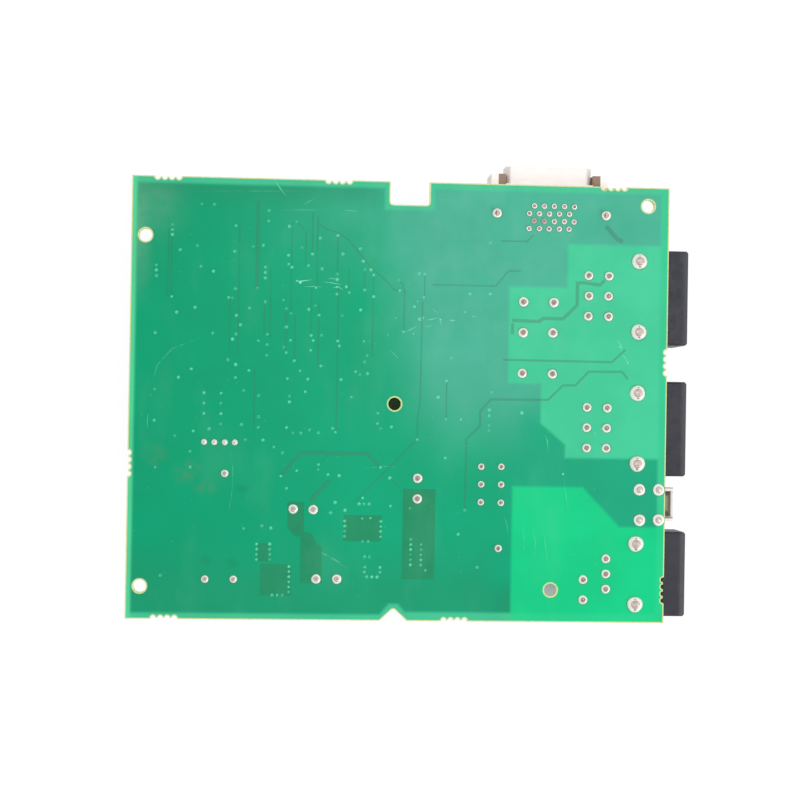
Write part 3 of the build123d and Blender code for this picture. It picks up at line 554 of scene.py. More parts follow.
def plated(name, tone, rough, brushed=(1, 1, 1), metal=1.0, wear=0.35, inside=None):
    """Plated metal, dipped and dull over the solder face. `inside` is the box of a hollow darkened with
    painted shade, with a lighter strip in it.
    """
    s = Skin(name)
    streak = s.noise(0.5, 4, brushed)
    colour = s.mix(s.soft(streak, 0.3, 0.7, 0.0, wear), tone, tuple(c * 0.7 for c in tone))
    colour = s.mix(s.soft(s.z, 0.0, 0.25), colour, lin(196, 176, 166))
    s.put(s.bsdf.inputs["Metallic"], s.soft(s.z, 0.0, 0.25, metal, 0.1))
    if inside:
        x0, x1, y0, y1 = inside
        # painted shade in the hollow, and a lighter strip across it
        colour = s.mix(s.soft(s.box(x0, x1, y0, y1), -0.2, 0.3), colour, lin(92, 84, 76))
        strip = s.box(x0 + 1.8, x0 + 3.2, y0 + 1.4, y1 - 1.4)
        colour = s.mix(s.soft(strip, -0.3, 0.6), colour, lin(144, 144, 112))
    s.colour(colour)
    s.rough(rough - wear * 0.2, rough + wear * 0.45, 1.2, 3, 8.0, brushed)
    s.bump(streak, 0.002)
    return s.done()


def dress(names, skin):
    """Gives CAD nodes a skin."""
    for name in names.split():
        nodes[name].data.materials.clear()
        nodes[name].data.materials.append(skin)


# near-white solder: partly its own colour, partly a painted reflection of the bright surroundings
FILLET = solder_metal("solder", lin(253, 253, 245), 0.34)
TINNED = plated("tinned_metal", lin(206, 200, 190), 0.3)
ENAMEL = plated("enamelled_wire", lin(206, 122, 62), 0.32, metal=0.7, wear=0.25)
# box of the bracket's hollow, darkened with painted shade
BRACKET_SHADED_HOLLOW = (67.2, 71.0, -28.6, -21.7)

dress("signal_contacts wire_leads choke_pins transformer_pins stack_contacts test_posts processor_leads "
      "gate_array_leads memory_leads logic_leads optocoupler_leads controller_leads regulator_metal "
      "switch_metal diode_terminals power_header_a_contacts power_header_b_contacts power_header_c_contacts "
      "power_header_a_locks power_header_b_locks power_header_c_locks", TINNED)
dress("choke_windings transformer_winding", ENAMEL)
dress("signal_shell signal_lock_left signal_lock_right",
      plated("plated_steel", lin(238, 230, 227), 0.45, (0.5, 1, 1), 0.3, 0.05))
dress("earth_bracket",
      plated("bracket_steel", lin(236, 228, 224), 0.45, (0.5, 1, 1), 0.3, 0.06, BRACKET_SHADED_HOLLOW))
dress("earth_screw earth_washer", plated("bright_steel", lin(208, 206, 202), 0.3, wear=0.3))
dress("crystal", plated("crystal_can", lin(206, 205, 200), 0.42, (0.3, 1, 1), 0.5, 0.2))
dress("signal_insulator", moulding("connector_plastic", lin(150, 122, 104), lin(176, 150, 132)))
dress("power_header_a_housing power_header_b_housing power_header_c_housing stack_socket", header_moulding())
dress("electrolytic_a electrolytic_b electrolytic_c",
      moulding("capacitor_sleeve", lin(38, 40, 50), lin(54, 56, 66), 0.3, 0.3, 0.6))
dress("film_capacitor", moulding("film_case", lin(196, 190, 176), lin(214, 208, 196), 0.45))
dress("varistor", moulding("varistor_coat", lin(36, 84, 160), lin(52, 104, 180), 0.3, 0.4, 0.6))
dress("choke_base transformer_bobbin", moulding("bobbin_plastic", lin(42, 40, 40), lin(60, 58, 58)))
dress("choke_core transformer_core inductor",
      moulding("ferrite", lin(70, 70, 74), lin(92, 92, 96), 0.55, 0.3))
dress("processor gate_array memory logic_circuits optocouplers supply_controller regulator_case switch_case "
      "power_diodes", moulding("package_epoxy", lin(44, 44, 48), lin(60, 60, 64), 0.5, 0.1))
dress("chip_capacitors", moulding("chip_ceramic", lin(188, 158, 120), lin(206, 178, 142), 0.4, 0.2))
dress("chip_resistors", moulding("chip_black", lin(34, 34, 36), lin(50, 50, 52), 0.35, 0.2))

RESIST = resist("resist_solder_side")
TRACE = resist("resist_over_trace", lin(88, 142, 116), lambda s: s.soft(s.x, 18, 30, 0.25, 0.42), shade=0.88)
POUR = resist_on_pour()
# some covered vias shine, some are hardly lighter than the board
VIA = resist("resist_over_via", lin(112, 232, 184),
             lambda s: s.soft(s.noise(2.1, shift=5.0), 0.36, 0.62, 0.25, 0.75), spec=0.12)
SCUFF = resist("resist_scuffed", lin(140, 226, 190),
               lambda s: s.soft(s.noise(1.1, 3, shift=2.0), 0.35, 0.65, 0.05, 0.32))
# the coat at the edge of the opening round each joint is darker and greyer
CLEARANCE = resist("resist_at_joint", lin(96, 128, 104), lambda s: 0.55, shade=0.92)
LAMINATE = laminate_edge()
UNDER = component_resist("resist_component_side")
# the brown of the pin tips and of the crowns is partly flux and pin ends, partly a painted reflection of the
# dark camera overhead
TIP = flux_and_reflection_tip()
CROWN = solder_metal("solder_crown", lin(192, 172, 163), 0.4, 0.25)
PALE_CROWN = solder_metal("solder_pale_crown", lin(214, 198, 190), 0.4, 0.25)
SHINY = solder_metal("solder_hand_laid", lin(250, 250, 244), 0.3, 0.1)


# ---- board

TAB_STEP = 0.25
TAB_HALF = 3.3
SCALLOP = 0.6
TAB_PITCH = 1.75
CORNER = 0.8    # radius in the notch
HOLES = [(-64.0, 40.2), (-64.0, -46.9), (62.1, 50.3), (-1.4, -0.75), (38.6, -46.9)]


def tab(centre):
    """Stub of a break-off tab along its edge, as (place along the edge, depth)."""
    path = [(centre - TAB_HALF, 0.0), (centre - TAB_HALF, TAB_STEP)]
    for k in range(4):
        path += arc(centre + (k - 1.5) * TAB_PITCH, TAB_STEP, SCALLOP, pi, 0, 8)
    return path + [(centre + TAB_HALF, TAB_STEP), (centre + TAB_HALF, 0.0)]


def board_outline():
    """Anticlockwise outline of the board, with its tabs and notches."""
    path = [(-RIGHT, -UPPER)]
    path += [(s, -UPPER + d) for s, d in tab(-57.9)]
    x, half, depth = VEE
    path += [(x - half, -UPPER), (x - 0.55, -UPPER + depth - 0.25), (x - 0.2, -UPPER + depth),
             (x + 0.2, -UPPER + depth), (x + 0.55, -UPPER + depth - 0.25), (x + half, -UPPER)]
    path += [(s, -UPPER + d) for s, d in tab(14.4)]
    path += [(RIGHT, -UPPER)]
    for centre in (-46.7, 10.8):
        path += [(RIGHT - d, s) for s, d in tab(centre)]
    path += [(RIGHT, UPPER)]
    path += [(s, UPPER - d) for s, d in reversed(tab(53.4))]
    left, right, floor = NOTCH
    path += [(right, UPPER)] + arc(right - CORNER, floor + CORNER, CORNER, 0, -pi / 2, 4)
    path += arc(left + CORNER, floor + CORNER, CORNER, -pi / 2, -pi, 4)
    path += [(left, UPPER)]
    for centre in (-16.2, -58.6):
        path += [(s, UPPER - d) for s, d in reversed(tab(centre))]
    path += [(-RIGHT, UPPER)]
    return path + [(-RIGHT + d, s) for s, d in reversed(tab(-16.5))]


def board_sheet(name, z0, z1, inset, hole_radius, rim, material, replaces=()):
    """Flat plate of the board's outline drawn in by an inset, with its round holes."""
    curve = bpy.data.curves.new(name, "CURVE")
    curve.dimensions = "2D"
    curve.fill_mode = "BOTH"
    curve.extrude = (z1 - z0) / 2 * MM - rim * MM
    curve.bevel_depth = rim * MM
    curve.bevel_resolution = 1
    curve.offset = -rim * MM
    for loop in [inset_outline(board_outline(), inset)] + [circle(x, y, hole_radius, 48) for x, y in HOLES]:
        spline = curve.splines.new("POLY")
        spline.points.add(len(loop) - 1)
        for point, (x, y) in zip(spline.points, loop):
            point.co = (x * MM, y * MM, 0.0, 1.0)
        spline.use_cyclic_u = True
    holder = in_scene(name, curve)
    bpy.context.view_layer.update()
    mesh = bpy.data.meshes.new_from_object(holder)
    bpy.data.objects.remove(holder)
    mesh.transform(Matrix.Translation((CENTRE_X, CENTRE_Y, SOLDER + (z0 + z1) / 2 * MM)))
    mesh.materials.clear()
    mesh.materials.append(material)
    finished(mesh, name, replaces)


COAT = 0.04
SUNK = 0.005
COAT_INSET = 0.28
HOLE, COAT_HOLE = 1.6, 1.95
board_sheet("board_laminate", -THICKNESS + SUNK, -SUNK, 0.0, HOLE, 0.03, LAMINATE, ["circuit_board"])
board_sheet("board_resist", -COAT, 0.0, COAT_INSET, COAT_HOLE, 0.01, RESIST)
board_sheet("board_resist_under", -THICKNESS, -THICKNESS + COAT, COAT_INSET, COAT_HOLE, 0.01, UNDER)


# ---- solder side: traces, pours, covered vias

traces = Shape()
TRACE_RISE = 0.035
hair, fine, middling, wide, broad = 0.26, 0.32, 0.5, 0.8, 1.1
for width, path in [
    (fine, [(7.3, 29.3), (23.6, 29.3), (26.8, 33.2), (29.8, 33.2)]),
    (fine, [(24.8, 40.7), (31.4, 40.7), (32.9, 42.3)]),
    (broad, [(51.4, 45), (54.3, 41.8), (55.7, 41.2)]),
    (wide, [(27.9, 20.8), (34.8, 20.6), (35.7, 21.4), (40.8, 21.4), (44.3, 24.9), (44.3, 30.5), (46, 30.6),
            (50, 30.1), (51.2, 31.3)]),
    (wide, [(28, 20), (28, 17.3)]),
    (middling, [(25.8, 10.8), (53.4, 10.7), (56.8, 13.9)]),
    (middling, [(16.7, -27.1), (16.8, -9.3), (20.2, -6), (20.2, -2.2), (22.9, 0.8), (37.3, 0.9), (41, 4.6),
                (44.2, 4.7), (47.5, 8.2), (56, 8.3), (57.5, 6.5)]),
    (fine, [(11.6, 5), (11.6, -4.4)]),
    (fine, [(5.2, 25), (5.0, 0), (4.4, -5), (4.4, -9.6), (-11, -25.5)]),
    (0.9, [(-29.5, -19), (-24.8, -13.3), (-8, -13.3), (-4.9, -16.6)]),
    (broad, [(-17.5, -20.3), (-22.2, -25.2)]),
    (fine, [(-2.2, -19.5), (0.3, -21.5)]),
    (fine, [(-21, 44), (-19, 42.5), (-16.2, 41.8), (-13.5, 40), (-8, 33.5), (-3.5, 29.5), (-2, 27.8),
            (-0.6, 27.6)]),
    (fine, [(-0.8, 30.2), (0.2, 29.3), (0.7, 27.5), (0.6, 17.4)]),
    (fine, [(-28.4, 43.1), (-26.8, 44.3), (-24.8, 42.5)]),
]:
    traces.ribbon(path, width, TRACE_RISE)
for x, y0, y1 in [
    (-58.2, 25, 42), (-57.4, 25, 42), (-40.7, 11, 43), (-42.8, 12, 25), (-34.2, 16, 24), (-32.8, 15, 33),
    (-28.8, 11.6, 22), (-27.7, 21.4, 42.5), (-26.6, 10, 21), (-24.2, 33.5, 42), (-22.6, 36.3, 46.5),
    (-22.6, 16, 28), (-21.3, 28, 46), (-20.7, 8.4, 24), (-16.2, 31, 41), (-15.9, -8, 28), (-13.3, 27, 33),
    (-9.4, 27.6, 32.7), (-7.2, 11, 31), (-36.4, -8, 8), (5.7, 26, 32),
]:
    traces.ribbon([(x, y0), (x, y1)], hair, TRACE_RISE)
traces.ribbon([(-36.2, 27.6), (-36.2, 49)], wide, TRACE_RISE)
traces.piece("board_traces", [TRACE], "laminate")

pours = Shape()
for outline in [
    [(1.1, -44.5), (9.2, -44.5), (9.2, -22), (1.1, -22)],
    [(-13.7, -35.2), (-4.2, -35.2), (-4.2, -28.7), (-13.7, -28.7)],
    [(-34.2, -48.9), (-26.6, -48.9), (-26.6, -41.2), (-34.2, -41.2)],
    [(-35, -40.4), (-32, -40.4), (-32, -36), (-35, -36)],
    [(-27.7, -25.6), (-27.6, -32), (-26, -34), (-24.3, -34.2), (-24.3, -45.8), (-19, -45.8), (-19, -37),
     (-20.5, -35.5), (-21.6, -33.5), (-23.6, -33), (-23.6, -25.6)],
]:
    pours.slab(outline, FOOT, TRACE_RISE, 0.02)
pours.piece("board_pours", [POUR], "laminate")

# vias under the resist: low buttons, each with a dark speck on its lower right, painted shade beside the
# button
COVERED_VIAS = [
    (-41.7, 43), (-41.9, 36.6), (-37.4, 37.9), (-34.8, 38.2), (-33.6, 46.9), (-33.6, 44.3), (-50.3, 48.2),
    (-47.1, 48.1), (-57.4, 42.9), (-57.4, 41.6), (-57.4, 40.4), (-55.4, 36.6), (-51.2, 37.8), (-50.2, 32.7),
    (-47.1, 31.5), (-61.2, 32.8), (-61.2, 31.5), (-61.2, 30.1), (-34.2, 32.8), (-34.2, 31.5), (-34.2, 30.1),
    (-36.1, 27.6), (-41.6, 27.3), (-43.2, 25), (-42.3, 25), (-57.3, 25), (-34.1, 24.1), (-38, 22.5),
    (-51.5, 22.4), (-56, 21.1), (-41.2, 20.6), (-40.2, 18.3), (-33.5, 16.1), (-41.2, 16), (-47, 16.1),
    (-61.2, 16), (-42.1, 14.7), (-35.7, 14.4), (-33.5, 13.5), (-33.5, 10.9),
    (-28.4, 43.1), (-26.7, 44.3), (-20.7, 40.4), (-25.2, 37.9), (-22.6, 36.3), (-28.5, 35.9), (-28.5, 33.7),
    (-27.6, 32.9), (-23.6, 33.4), (-20.1, 32.7), (-16.3, 41.1), (-15, 36.5), (-16.3, 31.4), (-16.3, 30.1),
    (-14, 28.3), (-13.2, 26.9), (-16.3, 26.4), (-10.6, 37.9), (-9.8, 34.8), (-9.4, 32.7), (-7.9, 32.7),
    (-7.2, 31.4), (-9.4, 27.6), (-7.1, 26), (-0.8, 30.2), (-0.6, 27.6), (4.2, 32), (5.6, 31.9), (5.5, 26.1),
    (3.9, 25), (3.1, 23.7), (-29.6, 24.7), (-21.7, 23.4), (-23.2, 22.5), (-28.8, 22.5), (-27.7, 21.4),
    (-20.7, 21.1), (-14.9, 21.1), (-10.3, 22.6), (-1.5, 20.7), (4.5, 20.6), (-28.8, 18), (-22.6, 16),
    (-20, 16.1), (-22, 14.7), (-27.7, 14.7), (-29.3, 12.9), (-28.7, 11.6), (-22.6, 12.3), (-15.9, 14.7),
    (-15.5, 13.5), (-9.4, 14.7), (-3.4, 16.5), (0.5, 17.4), (-8.5, 11.2),
    (-43.1, 9.6), (-41.2, 8.4), (-37.9, 7), (-41.2, 5.1), (-52.2, 7.1), (-55.3, 5), (-61.1, 1.9),
    (-39.2, 2), (-35.4, 0.7), (-35.3, -4.5), (-35.3, -7.2), (-61.1, -5.8), (-47.5, -7.7), (-51.4, -8.3),
    (-55.9, -9.6), (-39.5, -6.5), (-38.5, -10.3), (-34.1, -10.3), (-31.4, -12), (-52.1, -13.4),
    (-52, -17.3), (-60.6, -17.5), (-34, -31.6), (-31.8, -32.2), (-38.5, -32.4), (-26.7, 9.6), (-20, 8.4),
    (-9.1, 9.6), (-11.3, 7.1), (-10.2, 6.4), (-8.4, 6.7), (-25.2, 7.1), (-28.3, 5.1), (-23.2, 5.1),
    (-14.9, 5.1), (-23.8, 1.9), (-27.7, 0.7), (-27.7, -0.7), (-12.3, 0.7), (-5.6, -3.2), (-5.6, -5.7),
    (-4.8, -7), (-2.1, -6.5), (-28.3, -7.1), (-26.7, -8.4), (-24.8, -8.4), (-22.6, -7.6), (-20.3, -8.2),
    (-16.8, -7.1), (-16.1, -8.1), (4.4, -9.6), (-29.2, -13.4), (-20.2, -16.2), (-20.2, -17.5),
    (-17.8, -18.7), (-15, -18.9), (-25.6, -17.8), (-29.5, -19.2), (-4.7, -16.7), (-2.3, -19.3),
    (-28.1, -22.2), (-15.9, -25.6), (-9, -24.4), (-2, -26.3), (-13.4, -27.5), (-17, -28.2), (-9, -29.5),
    (-7, -29.4), (2.9, -26.8), (-8.9, -35.2), (-7.5, -35.2), (-8.3, -39.1), (-7.1, -39.1), (-8.2, -41.6),
    (-8.3, -42.9), (-7.7, -44.1), (-6.4, -44.1), (-5.1, -44.1), (-4.4, -41.7), (-4.4, -42.9), (7, -42.3),
    (-58.9, -44.2), (22, 40.2), (22.2, 27.3), (17.1, 27.2), (12.7, 11), (11.5, 5.2), (9.5, 1.1),
    (11.5, -4.4), (15.3, -4.4), (22.9, 2.5), (22.4, -1.9), (22.4, -3.3), (22.4, -5.8), (22.4, -7),
    (30.7, -2.5), (11.5, -14.1), (16.7, -27.1), (15.1, -33.2), (20, -41.4),
]
VIA_PITCH = 1.27


def row(x, y, count, step_x=0.0, step_y=-VIA_PITCH):
    return [(x + k * step_x, y + k * step_y) for k in range(count)]


VIA_ROWS = (
    row(-48.9, 1.2, 3, 0, -2.54) + row(-44.7, 1.2, 4, 0, -2.54) + row(-9.9, -25.9, 3, VIA_PITCH, 0)
    + row(-13.4, -30.2, 4) + row(-4.4, -30.2, 4) + row(-35.2, -36.2, 4) + row(-32.0, -36.2, 4)
    + row(-27.1, -41.7, 6) + row(-31.2, -48.8, 3, VIA_PITCH, 0) + row(3.2, -34.6, 6)
    + row(5.8, -35.9, 5)
)
via_chance = Random(3)
vias = Shape()
for x, y in COVERED_VIAS + VIA_ROWS:
    size = via_chance.uniform(0.26, 0.38)
    vias.turned(x, y, [(size + 0.08, FOOT), (size, 0.05), (size * 0.6, 0.07)], 14)
    # the speck is painted shade
    vias.turned(x + size * 0.45, y - size * 0.5, [(0.11, 0.03), (0.09, 0.075)], 8, mark=1)
vias.piece("board_vias", [VIA, TRACE], "laminate")


# ---- solder joints

BRIGHT, DARK_CROWN, HAND_LAID, LIGHT_CROWN = range(4)    # marks of the fillets' materials
STACK_ROW = (-50.0, -39.0, -12.0, -10.0)
DULL_ROW = (30.0, 36.5, 45.2, 46.6)
EARTH_TAILS = (57.0, 80.0, -30.5, -20.0)
joints = Shape()
tips = Shape()
openings = Shape()


def within(joint, x0, x1, y0, y1):
    return x0 < joint.x < x1 and y0 < joint.y < y1


def scaled(radius, height, *profile):
    return [(radius * across, height * up) for across, up in profile]


def lock_joint(x, y, radius, uneven):
    """Wide dome round a board lock's folded-over prongs, its middle split by their slot."""
    dome = scaled(radius, 1, (1, FOOT), (0.97, 0.12), (0.88, 0.34), (0.74, 0.60), (0.56, 0.80), (0.3, 0.90))
    joints.turned(x, y, dome, 36, BRIGHT, uneven)
    joints.turned(x, y, scaled(radius, 1, (0.64, 0.5), (0.56, 0.86), (0.3, 1.0)), 20, LIGHT_CROWN, uneven)
    tips.block(x - 0.24, x + 0.26, y - 1.50, y - 1.10, 0.4, 0.84, 0.1)
    tips.block(x - 0.14, x + 0.16, y + 1.20, y + 1.50, 0.4, 0.80, 0.1)


def pin_joint(joint, radius, sides, lean, uneven):
    """Fillet that climbs to the pin's tip, in the finish of its group."""
    x, y, peak = joint.x, joint.y, joint.z1
    core = 0.30 if radius < 0.9 else 0.42    # the pin's own radius
    skirt = scaled(radius, 1, (1, FOOT), (0.96, 0.09), (0.86, 0.20), (0.72, 0.32), (0.60, peak * 0.5))
    crown = scaled(radius, peak, (0.60, 0.3), (0.57, 0.54), (0.48, 0.72)) + [(core * 0.98, peak * 0.86)]
    if within(joint, *STACK_ROW):
        skirt += [(radius * 0.46, peak * 0.74), (core, peak * 0.86)]
        joints.turned(x, y, skirt, sides, HAND_LAID, uneven)
        joints.turned(x, y, [(0.2, peak * 0.7), (0.16, peak * 0.95)], 10, DARK_CROWN)
        return
    earthed = radius > 1.2 and within(joint, *EARTH_TAILS)
    pale = x < 0 and y < 0
    joints.turned(x, y, skirt, sides, LIGHT_CROWN if within(joint, *DULL_ROW) else BRIGHT, uneven)
    joints.turned(x, y, crown, sides, LIGHT_CROWN if earthed or pale else DARK_CROWN, uneven)
    if earthed:
        joints.turned(x + 0.1, y - 0.1, scaled(1, peak, (0.34, 0.7), (0.3, 1), (0.12, 1.06)), 12, HAND_LAID)
    elif pale:
        tip = scaled(1, peak, (core * 0.8, 0.7), (core * 0.7, 0.98), (0.1, 1))
        joints.turned(x + 0.1, y + 0.05, tip, 12, DARK_CROWN)
    else:
        tip = scaled(core, peak, (1, 0.7), (1, 0.9), (0.75, 1), (0.3, 1.04))
        tips.turned(x + 0.05 * cos(lean), y + 0.05 * sin(lean), tip, 12)


chance = Random(7)
for joint in islands("solder_joints"):
    radius = joint.wide / 2
    lean = chance.uniform(0, 2 * pi)
    swell = chance.uniform(0.03, 0.07)

    def uneven(r, angle):
        swollen = r * (1 + swell * cos(angle - lean) + 0.02 * sin(3 * angle + lean))
        return swollen, 0.02 * r * cos(2 * angle + lean)

    sides = 28 if radius > 1 else 20
    openings.turned(joint.x, joint.y, [(radius + 0.16, FOOT), (radius + 0.13, 0.012)], sides)
    if radius > 1.8:
        lock_joint(joint.x, joint.y, radius, uneven)
    else:
        pin_joint(joint, radius, sides, lean, uneven)
joints.piece("solder_fillets", [FILLET, CROWN, SHINY, PALE_CROWN], "solder", ["solder_joints"],
             smooth=True)
tips.piece("pin_tips", [TIP], "tinned_metal")
openings.piece("resist_openings", [CLEARANCE], "laminate")


# ---- handling marks: scratches, specks and scuffed streaks

marks = Shape()
SKIM = 0.002    # marks start this far over the coat
for width, path in [
    (0.14, [(-32.6, 55), (-31.0, 52.7), (-29.4, 50.7)]),
    (0.26, [(-26.8, 29.4), (-25.2, 29.5), (-22.7, 29.9)]),
    (0.12, [(-24.5, 28.1), (-22, 28.2), (-20, 28.1)]),
    (0.14, [(-19.8, 29.4), (-17.4, 29.2), (-15, 28.8)]),
    (0.12, [(-18.8, 30.2), (-17.4, 30.3), (-16, 30.2)]),
    (0.18, [(-17.4, 28.0), (-16, 28.3), (-14.8, 27.5)]),
    (0.08, [(-15, 47.4), (-13, 47.4), (-11.1, 47.2)]),
    (0.08, [(-25, 48.6), (-23.7, 49.4), (-22.5, 50)]),
    (0.06, [(-30.8, 47.1), (-25, 47.3), (-20.4, 47.4)]),
    (0.16, [(0.9, 17.2), (2.4, 18.0), (3.9, 18.9)]),
    (0.10, [(-2.8, 12.8), (-1.7, 11.7), (-0.6, 10.5)]),
    (0.16, [(6.2, 20.4), (7.6, 20.6), (9.2, 21.1)]),
    (0.12, [(9.4, 21.2), (9.7, 20.2), (10.2, 19.2)]),
    (0.12, [(4.6, 21.3), (4.9, 20.4), (5.2, 19.8)]),
    (0.16, [(12.0, 20.4), (12.8, 20.3), (13.6, 20.5)]),
    (0.10, [(7.4, 23.4), (8.2, 22.8), (9.2, 22.2)]),
    (0.12, [(17.5, 21.9), (18.2, 21.4), (18.9, 21.8)]),
    (0.10, [(5.6, 19.0), (6.8, 18.8), (8.0, 19.2)]),
    (0.16, [(54.6, 16.4), (55.6, 15.0), (56.0, 13.4)]),
    (0.12, [(55.6, 13.0), (56.8, 11.8), (57.6, 9.9)]),
    (0.08, [(-62.6, -4), (-62.8, -6), (-62.6, -7.8)]),
    (0.06, [(-11.2, -45), (-11.2, -47.5)]),
    (0.12, [(36.6, -7.8), (37.3, -9.6), (37.5, -12)]),
    (0.06, [(36.6, -32), (37.2, -36), (37.9, -40.6)]),
    (0.06, [(26.6, -28.4), (27.4, -30.6), (27.6, -33.2)]),
    (0.14, [(49.6, -6.7), (49.3, -7.4), (49.6, -8.2)]),
    (0.06, [(41.5, -19), (42.2, -23), (43, -28)]),
    (0.08, [(30, 33), (31.5, 35)]),
    (0.06, [(32, 3), (33.5, 5)]),
]:
    marks.ribbon(path, width, 0.02, SKIM, taper=True)
for x, y, radius in [
    (-25.5, 29.2, 0.34), (-26.3, 29.6, 0.18), (-21.5, 27.9, 0.22), (-16.4, 28.2, 0.26), (41.4, -17.7, 0.25),
    (5.4, 20.9, 0.2), (12.7, 20.4, 0.26), (15.9, 22.6, 0.16), (3.0, 16.9, 0.16), (9.8, 20.6, 0.16),
    (46, -6.5, 0.14), (51, -6.2, 0.14), (55.4, 14.6, 0.2), (57.4, 10.6, 0.2),
]:
    marks.turned(x, y, [(radius, SKIM), (radius * 0.7, 0.02)], 8)
for width, path in [
    (0.25, [(-61.8, 3.5), (-60.5, 8), (-57, 12), (-50, 15)]),
    (0.22, [(-42.2, -12.4), (-41.4, -18), (-41.6, -24), (-42.4, -29)]),
    (0.50, [(-21.7, -37.3), (-19, -38.2), (-15.5, -40), (-12.4, -42.2)]),
    (0.16, [(-52.2, 51.3), (-37, 51.7), (-22.7, 52.1)]),
    (0.20, [(31.2, -29.9), (31.8, -34), (31.6, -38)]),
    (0.20, [(33.8, -30.5), (34.6, -35), (34.4, -39)]),
    (0.20, [(-9, -17), (-4, -16.4), (0.5, -16.6)]),
]:
    marks.ribbon(path, width, 0.015, SKIM, mark=1, taper=True)
SCRATCH = moulding("scratch", lin(120, 226, 186), lin(176, 240, 214), 0.7, 0.2, 0.1)
marks.piece("handling_marks", [SCRATCH, SCUFF], "laminate")


# ---- component side
# Shapes are drawn as if on the upper face and then turned over.

def turned_over(shape):
    shape.points = [(x, y, -THICKNESS - z) for x, y, z in shape.points]
    shape.faces = [tuple(reversed(face)) for face in shape.faces]
    return shape


def rim(x0, x1, y0, y1):
    return [(x0, y0), (x1, y0), (x1, y1), (x0, y1), (x0, y0)]


LEAD_NODES = ["processor_leads", "gate_array_leads", "memory_leads", "logic_leads", "optocoupler_leads",
              "controller_leads", "diode_terminals", "regulator_metal", "switch_metal"]
CHIPS = ["chip_capacitors", "chip_resistors"]
PACKAGES = {"processor_leads": "processor", "gate_array_leads": "gate_array", "memory_leads": "memory",
            "controller_leads": "supply_controller"}
pads = Shape()
ends = Shape()
runs = Shape()
under_vias = Shape()

feet = [(name, foot) for name in LEAD_NODES for foot in islands(name)]
for name, foot in feet:
    pads.block(*foot.grown(*foot.lengthwise(0.3, 0.07)), FOOT, 0.06, 0.03)

# a chip's metal ends wrap round its body, each on a pad
CAP = 0.34
PROUD = 0.03
for chip in [chip for name in CHIPS for chip in islands(name)]:
    tall = PROUD - THICKNESS - chip.z0
    x0, x1, y0, y1 = chip.grown(PROUD, PROUD)
    reach_x, reach_y = chip.lengthwise(0.35, 0.12)
    if chip.wide > chip.deep:
        sides = [(x0, chip.x0 + CAP, y0, y1), (chip.x1 - CAP, x1, y0, y1)]
    else:
        sides = [(x0, x1, y0, chip.y0 + CAP), (x0, x1, chip.y1 - CAP, y1)]
    for x0, x1, y0, y1 in sides:
        ends.block(x0, x1, y0, y1, 0.0, tall, 0.05)
        pads.block(x0 - reach_x, x1 + reach_x, y0 - reach_y, y1 + reach_y, FOOT, 0.08, 0.05)

for joint in islands("solder_joints"):
    radius = joint.wide / 2
    pads.turned(joint.x, joint.y, scaled(radius, 1, (1, FOOT), (0.94, 0.05), (0.6, 0.08), (0.45, 0.2)), 20)
SIGHTING_MARKS = [(-61.0, 49.5), (57.0, 44.5), (-60.0, -51.0)]
for x, y in SIGHTING_MARKS:
    pads.turned(x, y, [(0.75, FOOT), (0.72, 0.03)], 24)
turned_over(pads).piece("component_pads", [FILLET], "solder")
turned_over(ends).piece("chip_terminations", [TINNED], "tinned_metal")

# fan-out of the leads, with vias, then the wider runs between the parts
RUN_RISE = 0.03
for k, (name, foot) in enumerate(feet):
    if name not in PACKAGES:
        continue
    body = box_of(PACKAGES[name])
    reach = 1.0 + 0.75 * (k % 3)
    if foot.wide > foot.deep:
        way = 1 if foot.x > body.x else -1
        start = foot.x + way * foot.wide / 2
        path = [(start, foot.y), (start + way * reach, foot.y)]
    else:
        way = 1 if foot.y > body.y else -1
        start = foot.y + way * foot.deep / 2
        path = [(foot.x, start), (foot.x, start + way * reach)]
    runs.ribbon(path, 0.2, RUN_RISE)
    under_vias.turned(*path[-1], [(0.33, FOOT), (0.28, 0.05), (0.14, 0.05), (0.1, 0.02)], 10)


def bus(path, count, step_x, step_y, width=0.22):
    for k in range(count):
        runs.ribbon([(x + k * step_x, y + k * step_y) for x, y in path], width, RUN_RISE)


bus([(-21.0, 17.2), (-13.6, 17.2)], 9, 0, 0.8)
bus([(-9.2, 28.6), (-9.2, 31.0)], 8, 1.2, 0)
bus([(3.4, 15.0), (5.5, 15.0), (12.5, 22.0), (19.0, 22.0), (24.5, 27.5), (24.5, 33.0), (31.5, 40.0),
     (31.5, 42.6)], 6, 0.6, -0.6)
bus([(-37.0, 10.6), (-37.0, 8.0), (-34.0, 5.0), (-24.0, 5.0), (-21.0, 2.0), (-21.0, -14.0)], 5, 0.6, 0.6)
bus([(-44.0, 18.0), (-46.0, 16.0), (-46.0, -6.0)], 4, -0.8, 0.8)
bus([(-44.0, 27.0), (-49.0, 32.0), (-60.0, 32.0)], 4, 0.6, 0.6)
bus([(-63.5, 26.0), (-63.5, -11.0), (-59.0, -15.5)], 4, 0.6, 0.6)
bus([(-4.0, 11.5), (-4.0, 10.2)], 5, 0.8, 0)
bus([(8.5, -8.0), (8.5, 6.0), (11.0, 8.5), (26.0, 8.5)], 3, 0.8, -0.8, 0.4)
bus([(21.0, 36.0), (24.0, 39.0), (27.0, 42.0), (27.0, 46.0)], 3, -0.8, 0.8, 0.3)
bus([(-40.0, -21.0), (-31.0, -21.0)], 3, 0, -0.9, 0.4)
bus([(-57.0, -5.0), (-57.0, -26.0), (-50.0, -33.0), (-50.0, -42.0)], 3, 0.8, 0.8, 0.35)

